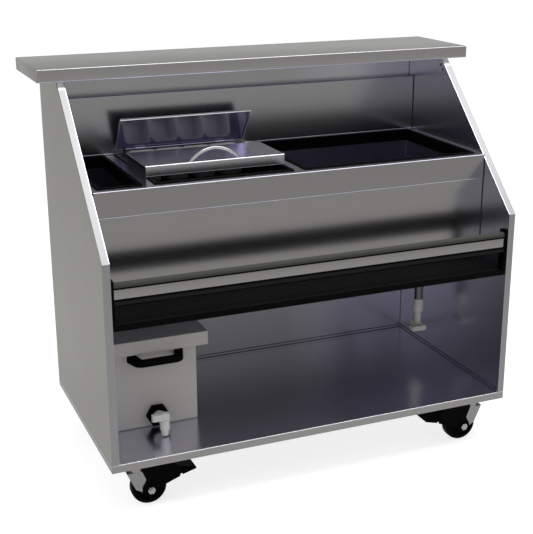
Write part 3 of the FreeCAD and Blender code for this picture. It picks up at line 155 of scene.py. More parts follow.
class Graph:
    """Node tree of one finish."""

    def __init__(self, owner: Union[bpy.types.Material, bpy.types.World]) -> None:
        """Empty the owner's node tree.

        Args:
            owner: Material or world.
        """
        owner.use_nodes = True
        self.owner = owner
        self.tree = owner.node_tree
        self.tree.nodes.clear()

    def node(
        self,
        kind: str,
        settings: dict[str, object] | None = None,
        values: dict[object, object] | None = None,
        output: int | str = 0,
    ) -> Signal:
        """Add a node.

        Args:
            kind: Type of the node.
            settings: Properties of the node, set first.
            values: Numbers, colours or signals for its inputs.
            output: Which output to return.

        Returns:
            The output.
        """
        made = self.tree.nodes.new(kind)
        for key, setting in (settings or {}).items():
            setattr(made, key, setting)
        for key, value in (values or {}).items():
            socket = made.inputs[key]
            if isinstance(value, Signal):
                self.tree.links.new(value.socket, socket)
            elif socket.type == "RGBA":
                socket.default_value = (*value, 1.0)
            else:
                socket.default_value = value
        return Signal(self, made.outputs[output])

    def places(self) -> Signal:
        """Object coordinates."""
        return self.node("ShaderNodeTexCoord", output="Object")

    def past(self, axis: int, start: float, full: float) -> Signal:
        """Mask from 0 to 1 along an axis of the object.

        Args:
            axis: Number of the axis.
            start: Place where the mask leaves 0.
            full: Place where it reaches 1.

        Returns:
            The mask.
        """
        place = self.node("ShaderNodeSeparateXYZ", None, {0: self.places()}, axis)
        return self.node("ShaderNodeMapRange", None, {"Value": place, "From Min": start, "From Max": full})

    def noise(self, pattern: Pattern) -> Signal:
        """Noise from 0 to 1 on object coordinates.

        Args:
            pattern: Features and octaves.

        Returns:
            The noise.
        """
        places = self.node("ShaderNodeMapping", None, {"Vector": self.places(), "Scale": pattern.scale})
        values = {"Vector": places, "Scale": 1.0, "Detail": pattern.detail}
        return self.node("ShaderNodeTexNoise", None, values)

    def blend(self, share: Operand, first: object, second: object) -> Signal:
        """Mix of two colours.

        Args:
            share: Share of the second.
            first: First colour.
            second: Second colour.

        Returns:
            The colour.
        """
        settings = {"data_type": "RGBA"}
        # The Mix node keeps its colour sockets behind those for numbers and vectors.
        return self.node("ShaderNodeMix", settings, {0: share, 6: first, 7: second}, output=2)

    def varied(self, pattern: Signal, colour: Colour, dark: float, light: float) -> Signal:
        """Colour that noise makes darker and lighter.

        Args:
            pattern: Noise from 0 to 1.
            colour: Colour to vary.
            dark: Factor where the noise is 0.
            light: Factor where it is 1.

        Returns:
            The colour.
        """
        return self.blend(pattern, shaded(colour, dark), shaded(colour, light))

    def bump(self, height: Signal, strength: float, depth: float) -> Signal:
        """Normal of a bumpy surface.

        Args:
            height: Height from 0 to 1.
            strength: Strength from 0 to 1.
            depth: Depth of the bumps.

        Returns:
            The normal.
        """
        values = {"Height": height, "Strength": strength, "Distance": depth}
        return self.node("ShaderNodeBump", None, values)

    def show(self, shader: Signal) -> None:
        """Link a shader to the tree's output.

        Args:
            shader: Shader to show.
        """
        is_world = isinstance(self.owner, bpy.types.World)
        made = self.tree.nodes.new("ShaderNodeOutputWorld" if is_world else "ShaderNodeOutputMaterial")
        self.tree.links.new(shader.socket, made.inputs["Surface"])


class Side(Enum):
    """Sides of a box: number of the axis across the side, and of the corner that lies on it."""

    LEFT = (0, 0)
    RIGHT = (0, 1)
    FRONT = (1, 0)
    BOTTOM = (2, 0)
    TOP = (2, 1)


@dataclass(frozen=True)
class Tone:
    """Painted light or shade near one side of a CAD node's box; start and full are depths below that side.
    """

    node: str
    side: Side
    start: float
    full: float
    colour: Colour

    def mask(self, graph: Graph) -> Signal:
        """Mask from 0 at the start to 1 at the full depth and beyond.

        Args:
            graph: Node tree to add to.

        Returns:
            The mask.
        """
        axis, corner = self.side.value
        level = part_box(self.node)[corner][axis]
        inward = -1.0 if corner else 1.0
        return graph.past(axis, level + inward * self.start, level + inward * self.full)


def toned(graph: Graph, pattern: Signal, spread: float, colour: Colour, tones: Sequence[Tone]) -> Signal:
    """Colour with its tones of painted light and shade over it, all varied by one noise.

    Args:
        graph: Node tree to add to.
        pattern: Noise from 0 to 1.
        spread: Share by which the noise makes a colour darker and lighter.
        colour: Colour where no tone is.
        tones: Tones of painted light and shade, the later over the earlier.

    Returns:
        The colour.
    """
    shown = graph.varied(pattern, colour, 1.0 - spread, 1.0 + spread)
    for tone in tones:
        over = graph.varied(pattern, tone.colour, 1.0 - spread, 1.0 + spread)
        shown = graph.blend(tone.mask(graph), shown, over)
    return shown


@dataclass(frozen=True)
class Relief:
    """Fine bumps of a surface."""

    pattern: Pattern
    strength: float
    depth: float

    def normal(self, graph: Graph) -> Signal:
        """Normal of the bumps."""
        return graph.bump(graph.noise(self.pattern), self.strength, self.depth)


class Grain(Enum):
    """Belt lines of a sheet, long along one axis and fine across it."""

    ALONG_X = Pattern((3.0, 700.0, 700.0), 3.0)
    ALONG_Y = Pattern((700.0, 3.0, 700.0), 3.0)
    ALONG_Z = Pattern((700.0, 700.0, 3.0), 3.0)


@dataclass(frozen=True)
class Finish(ABC):
    """Look of some pieces, as one node material."""

    name: str
    colour: Colour

    @abstractmethod
    def inputs(self, graph: Graph) -> dict[str, object]:
        """Inputs of the Principled shader.

        Args:
            graph: Node tree to add nodes to.

        Returns:
            Number, colour or signal of each input.
        """

    def material(self) -> bpy.types.Material:
        """Node material under the finish's name."""
        graph = Graph(bpy.data.materials.new(self.name))
        graph.show(graph.node("ShaderNodeBsdfPrincipled", None, self.inputs(graph)))
        return graph.owner


@dataclass(frozen=True)
class BrushedSteel(Finish):
    """Stainless sheet with fine belt lines and faint hand marks."""

    roughness: float
    grain: Grain
    tones: tuple[Tone, ...] = ()
    edge_tint: Colour = (0.75, 0.75, 0.75)
    line_contrast: float = 0.03
    line_roughness: float = 0.03
    line_strength: float = 0.25
    line_depth: float = 0.00002
    marks: Pattern = even(5.0, 4.0)
    mark_roughness: float = 0.04

    def inputs(self, graph: Graph) -> dict[str, object]:
        """Inputs of the Principled shader."""
        lines = graph.noise(self.grain.value)
        marks = graph.noise(self.marks)
        unevenness = lines.swing(self.line_roughness) + marks.swing(self.mark_roughness)
        return {
            "Base Color": toned(graph, lines, self.line_contrast, self.colour, self.tones),
            "Metallic": 1.0,
            "Roughness": self.roughness + unevenness,
            "Specular Tint": self.edge_tint,
            "Normal": graph.bump(lines, self.line_strength, self.line_depth),
        }


@dataclass(frozen=True)
class MouldedPlastic(Finish):
    """Moulded plastic with a fine spark-eroded texture and faint flow marks."""

    roughness: float
    gloss: float
    mottle: float = 0.06
    tones: tuple[Tone, ...] = ()
    flow: Pattern = even(14.0, 3.0)
    flow_roughness: float = 0.12
    texture: Relief = Relief(even(1.0 / TEXTURE_PITCH, 2.0), 0.35, 0.00004)

    def inputs(self, graph: Graph) -> dict[str, object]:
        """Inputs of the Principled shader."""
        flow = graph.noise(self.flow)
        return {
            "Base Color": toned(graph, flow, self.mottle, self.colour, self.tones),
            "Roughness": self.roughness + flow.swing(self.flow_roughness),
            "Specular IOR Level": self.gloss,
            "Normal": self.texture.normal(graph),
        }


@dataclass(frozen=True)
class ZincPlate(Finish):
    """Zinc plated steel with soft clouds."""

    roughness: float
    clouds: Pattern = even(60.0, 4.0)
    dark: float = 0.85
    light: float = 1.12
    cloud_roughness: float = 0.25
    pits: Relief = Relief(even(900.0, 2.0), 0.2, 0.00005)

    def inputs(self, graph: Graph) -> dict[str, object]:
        """Inputs of the Principled shader."""
        clouds = graph.noise(self.clouds)
        return {
            "Base Color": graph.varied(clouds, self.colour, self.dark, self.light),
            "Metallic": 1.0,
            "Roughness": self.roughness + clouds.swing(self.cloud_roughness),
            "Normal": self.pits.normal(graph),
        }


@dataclass(frozen=True)
class WheelRubber(Finish):
    """Black rubber with grey scuffs where it rolls."""

    scuff: Colour
    gloss: float
    patches: Pattern = even(180.0, 5.0)
    wear_start: float = 0.52
    wear_share: float = 0.8
    least_roughness: float = 0.5
    patch_roughness: float = 0.3
    pores: Relief = Relief(even(1500.0, 1.0), 0.3, 0.00006)

    def inputs(self, graph: Graph) -> dict[str, object]:
        """Inputs of the Principled shader."""
        patches = graph.noise(self.patches)
        worn = (patches - self.wear_start).most(0.0) * self.wear_share
        return {
            "Base Color": graph.blend(worn, self.colour, self.scuff),
            "Roughness": self.least_roughness + patches * self.patch_roughness,
            "Specular IOR Level": self.gloss,
            "Normal": self.pores.normal(graph),
        }


@dataclass(frozen=True)
class RigidFoam(Finish):
    """Cells of cut rigid foam."""

    cells: Pattern = even(450.0, 3.0)
    dark: float = 0.7
    light: float = 1.0
    least_roughness: float = 0.85
    cell_roughness: float = 0.1
    cell_strength: float = 0.8
    cell_depth: float = 0.0006

    def inputs(self, graph: Graph) -> dict[str, object]:
        """Inputs of the Principled shader."""
        cells = graph.noise(self.cells)
        return {
            "Base Color": graph.varied(cells, self.colour, self.dark, self.light),
            "Roughness": self.least_roughness + cells * self.cell_roughness,
            "Normal": graph.bump(cells, self.cell_strength, self.cell_depth),
        }


@dataclass(frozen=True)
class FacedBoard(Finish):
    """Pressed board with a pale facing, seen under the counter."""

    chips: Pattern = Pattern((220.0, 120.0, 220.0), 4.0)
    dark: float = 0.93
    light: float = 1.04
    least_roughness: float = 0.55
    chip_roughness: float = 0.15
    pores: Relief = Relief(even(900.0, 2.0), 0.3, 0.00005)

    def inputs(self, graph: Graph) -> dict[str, object]:
        """Inputs of the Principled shader."""
        chips = graph.noise(self.chips)
        return {
            "Base Color": graph.varied(chips, self.colour, self.dark, self.light),
            "Roughness": self.least_roughness + chips * self.chip_roughness,
            "Normal": self.pores.normal(graph),
        }


# Sheets in the open mirror white surroundings, so they are painted darker than bare steel; their greys,
# which differ from face to face and sheet to sheet, are painted shade.
STEEL: Colour = (0.200, 0.195, 0.192)
OUTER_STEEL: Colour = (0.201, 0.195, 0.179)
EDGE_STEEL: Colour = (0.186, 0.186, 0.191)
FRONT_STEEL: Colour = (0.176, 0.172, 0.169)
FLANGE_STEEL: Colour = (0.162, 0.158, 0.156)
WALL_STEEL: Colour = (0.210, 0.206, 0.208)
WALL_END_REFLECTION: Colour = (0.28, 0.277, 0.295)
SPLASH_STEEL: Colour = (0.188, 0.184, 0.186)
STORE_WALL_SHADE: Colour = (0.155, 0.152, 0.150)
COVER_FRONT: Colour = (0.27, 0.267, 0.27)
HANDLE_STEEL: Colour = (0.36, 0.355, 0.35)

# Ends, hems, hollows and small pieces that the photograph shows dark; on the cover's end and hem, the
# holder and the middle liner the dark colour is painted shade and painted dark reflection.
COVER_END_SHADE: Colour = (0.025, 0.025, 0.029)
HEM_SHADE: Colour = (0.105, 0.104, 0.13)
HOLDER_DARK_REFLECTION: Colour = (0.18, 0.175, 0.24)
MIDDLE_LINER_SHADE: Colour = (0.04, 0.04, 0.05)
SCREW_HEAD: Colour = (0.105, 0.103, 0.118)
PIPE_SHADE: Colour = (0.085, 0.085, 0.084)

# Sheltered sheets and bends mirror darker surroundings, so they are painted lighter: painted light and a
# painted bluish reflection on the sheets inside the store, wells and cover, and painted highlights along
# the bends, ledges and hems.
COUNTER_BEND_HIGHLIGHT: Colour = (0.46, 0.46, 0.48)
BASE_BEND_HIGHLIGHT: Colour = (0.55, 0.55, 0.58)
COVER_BEND_HIGHLIGHT: Colour = (0.86, 0.86, 0.90)
JACKET_PAINTED_LIGHT: Colour = (0.50, 0.495, 0.565)
SIDE_PAINTED_LIGHT: Colour = (0.60, 0.59, 0.70)
FLOOR_PAINTED_LIGHT: Colour = (0.76, 0.75, 0.87)
DECK_TOP_PAINTED_LIGHT: Colour = (0.64, 0.63, 0.73)
COVER_TOP_PAINTED_LIGHT: Colour = (0.82, 0.81, 0.92)
LEDGE_HIGHLIGHT: Colour = (0.45, 0.445, 0.60)
DECK_HEM_HIGHLIGHT: Colour = (0.30, 0.30, 0.36)
SPLASH_FOOT_HIGHLIGHT: Colour = (0.72, 0.71, 0.84)
LID_BLUE_REFLECTION: Colour = (0.33, 0.325, 0.42)
LIT_EDGE: Colour = (0.88, 0.88, 0.90)
LINER_PAINTED_LIGHT: Colour = (0.42, 0.41, 0.50)

BLACK: Colour = (0.0012, 0.0012, 0.0012)
TRAY_BLACK: Colour = (0.0084, 0.0084, 0.0092)
# Black of the rail bar; on the tray's front lip the same black is painted shade.
DEEP_BLACK: Colour = (0.0008, 0.0008, 0.0008)
# Painted highlights on the rail bar's rounded top and lower edge.
BAR_TOP_HIGHLIGHT: Colour = (0.062, 0.062, 0.057)
BAR_FOOT_HIGHLIGHT: Colour = (0.016, 0.016, 0.017)
SEAL_GREY: Colour = (0.026, 0.026, 0.045)
TANK_WHITE: Colour = (0.51, 0.496, 0.462)
# Painted light on the tank lid's top.
TANK_LID_TOP_LIGHT: Colour = (0.64, 0.63, 0.63)
TAP_WHITE: Colour = (0.66, 0.65, 0.62)
DRAIN_WHITE: Colour = (0.58, 0.57, 0.515)
PAN_WHITE: Colour = (0.58, 0.575, 0.57)
ZINC_GREY: Colour = (0.20, 0.198, 0.196)
BOLT_GREY: Colour = (0.27, 0.27, 0.275)
RUBBER_BLACK: Colour = (0.002, 0.002, 0.002)
SCUFF_GREY: Colour = (0.006, 0.006, 0.006)
FOAM_YELLOW: Colour = (0.72, 0.62, 0.38)
FACING_WHITE: Colour = (0.78, 0.77, 0.75)

# Tones of painted light and shade over the sheets: painted highlights on bends, edges and ledges, and a
# painted grey of its own on each face.
COUNTER_TONES = (
    Tone("counter_top", Side.BOTTOM, 0.0024, 0.0008, LEDGE_HIGHLIGHT),
    Tone("counter_top", Side.TOP, 0.0022, 0.0016, COUNTER_BEND_HIGHLIGHT),
    Tone("counter_top", Side.TOP, 0.0005, 0.0001, OUTER_STEEL),
    Tone("counter_top", Side.LEFT, 0.0028, 0.0020, OUTER_STEEL),
    Tone("counter_top", Side.RIGHT, 0.0028, 0.0020, OUTER_STEEL),
)
PANEL_TONES = (
    Tone("left_panel", Side.TOP, 0.023, 0.011, LIT_EDGE),
    Tone("left_panel", Side.LEFT, 0.0019, 0.0013, OUTER_STEEL),
    Tone("right_panel", Side.RIGHT, 0.0019, 0.0013, OUTER_STEEL),
)
BASE_TONES = (
    Tone("base_pan", Side.TOP, 0.0021, 0.0017, BASE_BEND_HIGHLIGHT),
    Tone("base_pan", Side.LEFT, 0.0025, 0.0019, STEEL),
    Tone("base_pan", Side.RIGHT, 0.0025, 0.0019, STEEL),
    Tone("base_pan", Side.TOP, 0.0003, 0.0, FLOOR_PAINTED_LIGHT),
)
# Painted shade on the store's part of the rear wall, and a painted reflection brightening the wall towards
# its right end.
REAR_TONES = (
    Tone("rear_liner", Side.BOTTOM, 0.4595, 0.3995, STORE_WALL_SHADE),
    Tone("rear_liner", Side.RIGHT, 0.4385, 0.0885, WALL_END_REFLECTION),
)
DECK_TONES = (Tone("work_deck", Side.TOP, 0.0020, 0.0002, DECK_TOP_PAINTED_LIGHT),)
SPLASH_TONES = (Tone("backsplash", Side.TOP, 0.0020, 0.0010, LEDGE_HIGHLIGHT),)
SIDE_TONES = (Tone("left_liner", Side.FRONT, 0.0025, 0.0015, STEEL),)
# Painted shade on the cover's left end, a painted highlight on its top bend and painted light on its top.
COVER_TONES = (
    Tone("bin_cover", Side.LEFT, 0.0013, 0.0007, COVER_END_SHADE),
    Tone("bin_cover", Side.TOP, 0.0020, 0.0013, COVER_BEND_HIGHLIGHT),
    Tone("bin_cover", Side.TOP, 0.0005, 0.0001, COVER_TOP_PAINTED_LIGHT),
)
LID_TONES = (
    Tone("condiment_lid", Side.LEFT, 0.0017, 0.0014, LIT_EDGE),
    Tone("condiment_lid", Side.RIGHT, 0.0017, 0.0014, LIT_EDGE),
    Tone("condiment_lid", Side.TOP, 0.00675, 0.00375, LIT_EDGE),
)
# Painted highlights on the bar's top and lower edge.
BAR_TONES = (
    Tone("rail_bar", Side.TOP, 0.0132, 0.0118, BAR_TOP_HIGHLIGHT),
    Tone("rail_bar", Side.BOTTOM, 0.0100, 0.0090, BAR_FOOT_HIGHLIGHT),
)
# Painted shade on the tray's front lip.
TRAY_TONES = (Tone("rail_tray", Side.FRONT, 0.0018, 0.0008, DEEP_BLACK),)
# Painted light on the tank lid's top.
TANK_LID_TONES = (Tone("tank_lid", Side.TOP, 0.0011, 0.0003, TANK_LID_TOP_LIGHT),)

# Depth of the belt lines on the sheets around the store.
FINE_LINES = 0.000004

OUTER_ALONG = BrushedSteel("outer_steel_along", OUTER_STEEL, 0.30, Grain.ALONG_X)
OUTER_UPRIGHT = BrushedSteel("outer_steel_upright", EDGE_STEEL, 0.32, Grain.ALONG_Z, PANEL_TONES)
COUNTER_SHEET = BrushedSteel("counter_steel", STEEL, 0.30, Grain.ALONG_X, COUNTER_TONES)
BASE_SHEET = BrushedSteel("base_steel", STEEL, 0.21, Grain.ALONG_X, BASE_TONES, line_depth=FINE_LINES)
REAR_SHEET = BrushedSteel(
    "rear_wall_steel", WALL_STEEL, 0.29, Grain.ALONG_X, REAR_TONES, line_depth=FINE_LINES
)
DECK_SHEET = BrushedSteel("deck_steel", FLANGE_STEEL, 0.20, Grain.ALONG_X, DECK_TONES)
SPLASH_SHEET = BrushedSteel("splash_steel", SPLASH_STEEL, 0.22, Grain.ALONG_X, SPLASH_TONES)
APRON_SHEET = BrushedSteel("apron_steel", FRONT_STEEL, 0.22, Grain.ALONG_X)
SIDE_SHEET = BrushedSteel(
    "side_wall_steel", SIDE_PAINTED_LIGHT, 0.24, Grain.ALONG_Z, SIDE_TONES, line_depth=FINE_LINES
)
JACKET_SHEET = BrushedSteel("jacket_steel", JACKET_PAINTED_LIGHT, 0.25, Grain.ALONG_X)
COVER_SHEET = BrushedSteel("cover_steel", COVER_FRONT, 0.25, Grain.ALONG_X, COVER_TONES)
LID_SHEET = BrushedSteel("lid_steel", LID_BLUE_REFLECTION, 0.17, Grain.ALONG_X, LID_TONES)
HOLDER_SHEET = BrushedSteel("holder_steel", HOLDER_DARK_REFLECTION, 0.2, Grain.ALONG_X)
HANDLE_BAR = BrushedSteel("handle_steel", HANDLE_STEEL, 0.22, Grain.ALONG_X)
LINER_SHEET = BrushedSteel("well_liner_steel", LINER_PAINTED_LIGHT, 0.2, Grain.ALONG_Z)
SHADED_MIDDLE_LINER = BrushedSteel("middle_liner_steel", MIDDLE_LINER_SHADE, 0.5, Grain.ALONG_Z)
HEM_EDGE = BrushedSteel("hem_steel", DECK_HEM_HIGHLIGHT, 0.2, Grain.ALONG_X)
FOOT_EDGE = BrushedSteel("splash_foot_steel", SPLASH_FOOT_HIGHLIGHT, 0.25, Grain.ALONG_X)
COVER_HEM = BrushedSteel("cover_hem_steel", HEM_SHADE, 0.2, Grain.ALONG_X)
SCREW_STEEL = BrushedSteel("screw_steel", SCREW_HEAD, 0.4, Grain.ALONG_Y)
PIPE_STEEL = BrushedSteel("drain_pipe_steel", PIPE_SHADE, 0.45, Grain.ALONG_Z)
BLACK_PLASTIC = MouldedPlastic("black_plastic", BLACK, 0.45, 0.02)
TRAY_PLASTIC = MouldedPlastic("tray_plastic", TRAY_BLACK, 0.45, 0.03, tones=TRAY_TONES)
BAR_PLASTIC = MouldedPlastic("bar_plastic", DEEP_BLACK, 0.4, 0.02, tones=BAR_TONES)
TANK_PLASTIC = MouldedPlastic("tank_plastic", TANK_WHITE, 0.42, 0.25, mottle=0.02)
TANK_LID_PLASTIC = MouldedPlastic("tank_lid_plastic", TANK_WHITE, 0.42, 0.25, 0.02, TANK_LID_TONES)
TAP_PLASTIC = MouldedPlastic("tap_plastic", TAP_WHITE, 0.35, 0.3, mottle=0.02)
DRAIN_PLASTIC = MouldedPlastic("drain_plastic", DRAIN_WHITE, 0.4, 0.25, mottle=0.03)
PAN_PLASTIC = MouldedPlastic("pan_plastic", PAN_WHITE, 0.4, 0.3, mottle=0.02)
SEALANT = MouldedPlastic("joint_sealant", SEAL_GREY, 0.45, 0.12)
ZINC = ZincPlate("zinc_plate", ZINC_GREY, 0.34)
BOLT_ZINC = ZincPlate("bolt_zinc", BOLT_GREY, 0.25)
RUBBER = WheelRubber("wheel_rubber", RUBBER_BLACK, SCUFF_GREY, 0.06)
FOAM = RigidFoam("bin_foam", FOAM_YELLOW)
BOARD = FacedBoard("counter_board", FACING_WHITE)


def paint(finish: Finish, nodes: Sequence[str]) -> None:
    """Give CAD nodes a finish.

    Args:
        finish: Finish to make.
        nodes: Names of the nodes.
    """
    material = finish.material()
    for name in nodes:
        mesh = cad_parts[name].data
        mesh.materials.clear()
        mesh.materials.append(material)
    LOG.info("%s on %s", finish.name, ", ".join(nodes))


class Pick(Enum):
    """Mesh element that an operator works on."""

    EDGE = "EDGE"
    FACE = "FACE"


class Bench:
    """One mesh on the bench, shaped with edit-mode operators as by hand."""

    smooth_angle = math.radians(35.0)
    seed_size = 0.001
    weld_gap = 0.00001

    def __init__(self, name: str) -> None:
        """Take the primitive that was added last.

        Args:
            name: Name of the piece.
        """
        self.piece = bpy.context.object
        self.piece.name = name
        self.piece.data.name = name
        bpy.ops.object.transform_apply(location=True, rotation=True, scale=True)

    @classmethod
    def block(cls, name: str, low: Sequence[float], high: Sequence[float]) -> Bench:
        """Start from a cube.

        Args:
            name: Name of the piece.
            low: Its lowest corner.
            high: Its highest corner.

        Returns:
            The bench with the cube on it.
        """
        bpy.ops.object.select_all(action="DESELECT")
        size = Vector(high) - Vector(low)
        bpy.ops.mesh.primitive_cube_add(size=1.0, location=Vector(low) + size / 2.0, scale=size)
        return cls(name)

    @classmethod
    def strip(cls, name: str, low: Triple, high: Triple, width: float, steps: int) -> Bench:
        """Start from a strip along X whose front edges are round.

        Args:
            name: Name of the piece.
            low: Its lowest corner.
            high: Its highest corner.
            width: Width of the round.
            steps: Segments of the round.

        Returns:
            The bench with the strip on it.
        """
        middle = (low[1] + high[1]) / 2.0
        bench = cls.block(name, low, high)
        bench.pick(Pick.EDGE, lambda at, run: abs(run.x) > ALONG and at.y < middle)
        return bench.bevel(width, steps)

    @classmethod
    def turned(cls, name: str, middle: Vector, outline: Pairs, steps: int) -> Bench:
        """Start from a point, draw an outline with it and spin that about an axis along Y.

        Args:
            name: Name of the piece.
            middle: Middle of the turned shape.
            outline: Radius and place along the axis of each corner; it closes on itself.
            steps: Steps of the spin.

        Returns:
            The bench with the turned shape on it.
        """
        bpy.ops.object.select_all(action="DESELECT")
        places = [middle + Vector((radius, along, 0.0)) for radius, along in outline]
        bpy.ops.mesh.primitive_plane_add(size=cls.seed_size, location=places[0])
        bench = cls(name)
        bpy.ops.object.mode_set(mode="EDIT")
        bpy.ops.mesh.select_mode(type="VERT")
        bpy.ops.mesh.select_all(action="SELECT")
        bpy.ops.mesh.merge(type="CENTER")
        for here, there in zip(places, places[1:] + places[:1]):
            bpy.ops.mesh.extrude_vertices_move(TRANSFORM_OT_translate={"value": there - here})
        bpy.ops.mesh.select_all(action="SELECT")
        bpy.ops.mesh.spin(steps=steps, angle=math.tau, center=middle, axis=(0.0, 1.0, 0.0))
        bpy.ops.mesh.select_all(action="SELECT")
        bpy.ops.mesh.remove_doubles(threshold=cls.weld_gap)
        bpy.ops.mesh.normals_make_consistent(inside=False)
        return bench.leave()

    def pick(self, kind: Pick, chooser: Chooser) -> Bench:
        """Select elements in code and stay in edit mode.

        Args:
            kind: Edges or faces.
            chooser: Test on an element's middle and on its direction: an edge's run or a face's normal.

        Returns:
            The bench.
        """
        mesh = self.piece.data
        bpy.ops.object.mode_set(mode="EDIT")
        bpy.ops.mesh.select_mode(type=kind.value)
        bpy.ops.mesh.select_all(action="DESELECT")
        bpy.ops.object.mode_set(mode="OBJECT")
        if kind is Pick.FACE:
            for face in mesh.polygons:
                face.select = chooser(face.center, face.normal)
        else:
            for edge in mesh.edges:
                first, last = (mesh.vertices[index].co for index in edge.vertices)
                edge.select = chooser((first + last) / 2.0, (last - first).normalized())
        bpy.ops.object.mode_set(mode="EDIT")
        return self

    def bevel(self, width: float, segments: int) -> Bench:
        """Round the selected edges."""
        bpy.ops.mesh.bevel(offset=width, segments=segments, profile=0.5, affect="EDGES", clamp_overlap=True)
        return self.leave()

    def sink(self, border: float, run: Sequence[float]) -> Bench:
        """Inset the selected faces and push them along a run."""
        bpy.ops.mesh.inset(thickness=border, use_boundary=True, use_even_offset=True)
        return self.draw_out(run)

    def draw_out(self, run: Sequence[float]) -> Bench:
        """Extrude the selected faces along a run."""
        bpy.ops.mesh.extrude_region_move(TRANSFORM_OT_translate={"value": run})
        return self.leave()

    def leave(self) -> Bench:
        """Go back to object mode."""
        bpy.ops.object.mode_set(mode="OBJECT")
        return self

    def take_up(self) -> None:
        """Make the piece the only one selected, and the active one."""
        bpy.ops.object.select_all(action="DESELECT")
        self.piece.select_set(True)
        bpy.context.view_layer.objects.active = self.piece

    def copy(self, name: str, move: Vector) -> Bench:
        """Copy the piece with a mesh of its own.

        Args:
            name: Name of the copy.
            move: Way from the piece to the copy.

        Returns:
            The bench with the copy on it.
        """
        self.take_up()
        bpy.ops.object.duplicate(linked=False)
        bpy.context.object.location = move
        return Bench(name)

    def hand_over(
        self, body: str, slot: str, materials: Sequence[bpy.types.Material], replaced: Sequence[str] = ()
    ) -> None:
        """Smooth the piece, dress it and let it ride on its body.

        Args:
            body: Body that carries the piece.
            slot: Material slot of the record; not used.
            materials: Materials in the order of the mesh's slots.
            replaced: CAD nodes that the piece stands for.
        """
        self.take_up()
        bpy.ops.object.shade_smooth_by_angle(angle=self.smooth_angle)
        self.piece.data.materials.clear()
        for material in materials:
            self.piece.data.materials.append(material)
        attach(self.piece, body)
        if replaced:
            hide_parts(*replaced)
        LOG.info("%s on %s", self.piece.name, body)


def is_near(value: float, target: float, slack: float = 0.0002) -> bool:
    """Whether two lengths are the same."""
    return abs(value - target) < slack


class SubAssembly(ABC):
    """Pieces of the bar that belong together."""

    @abstractmethod
    def dress(self) -> None:
        """Finish the pieces that keep their CAD shape."""

    def build(self) -> None:
        """Model what the CAD shapes leave out; nothing, unless a sub-assembly says so."""


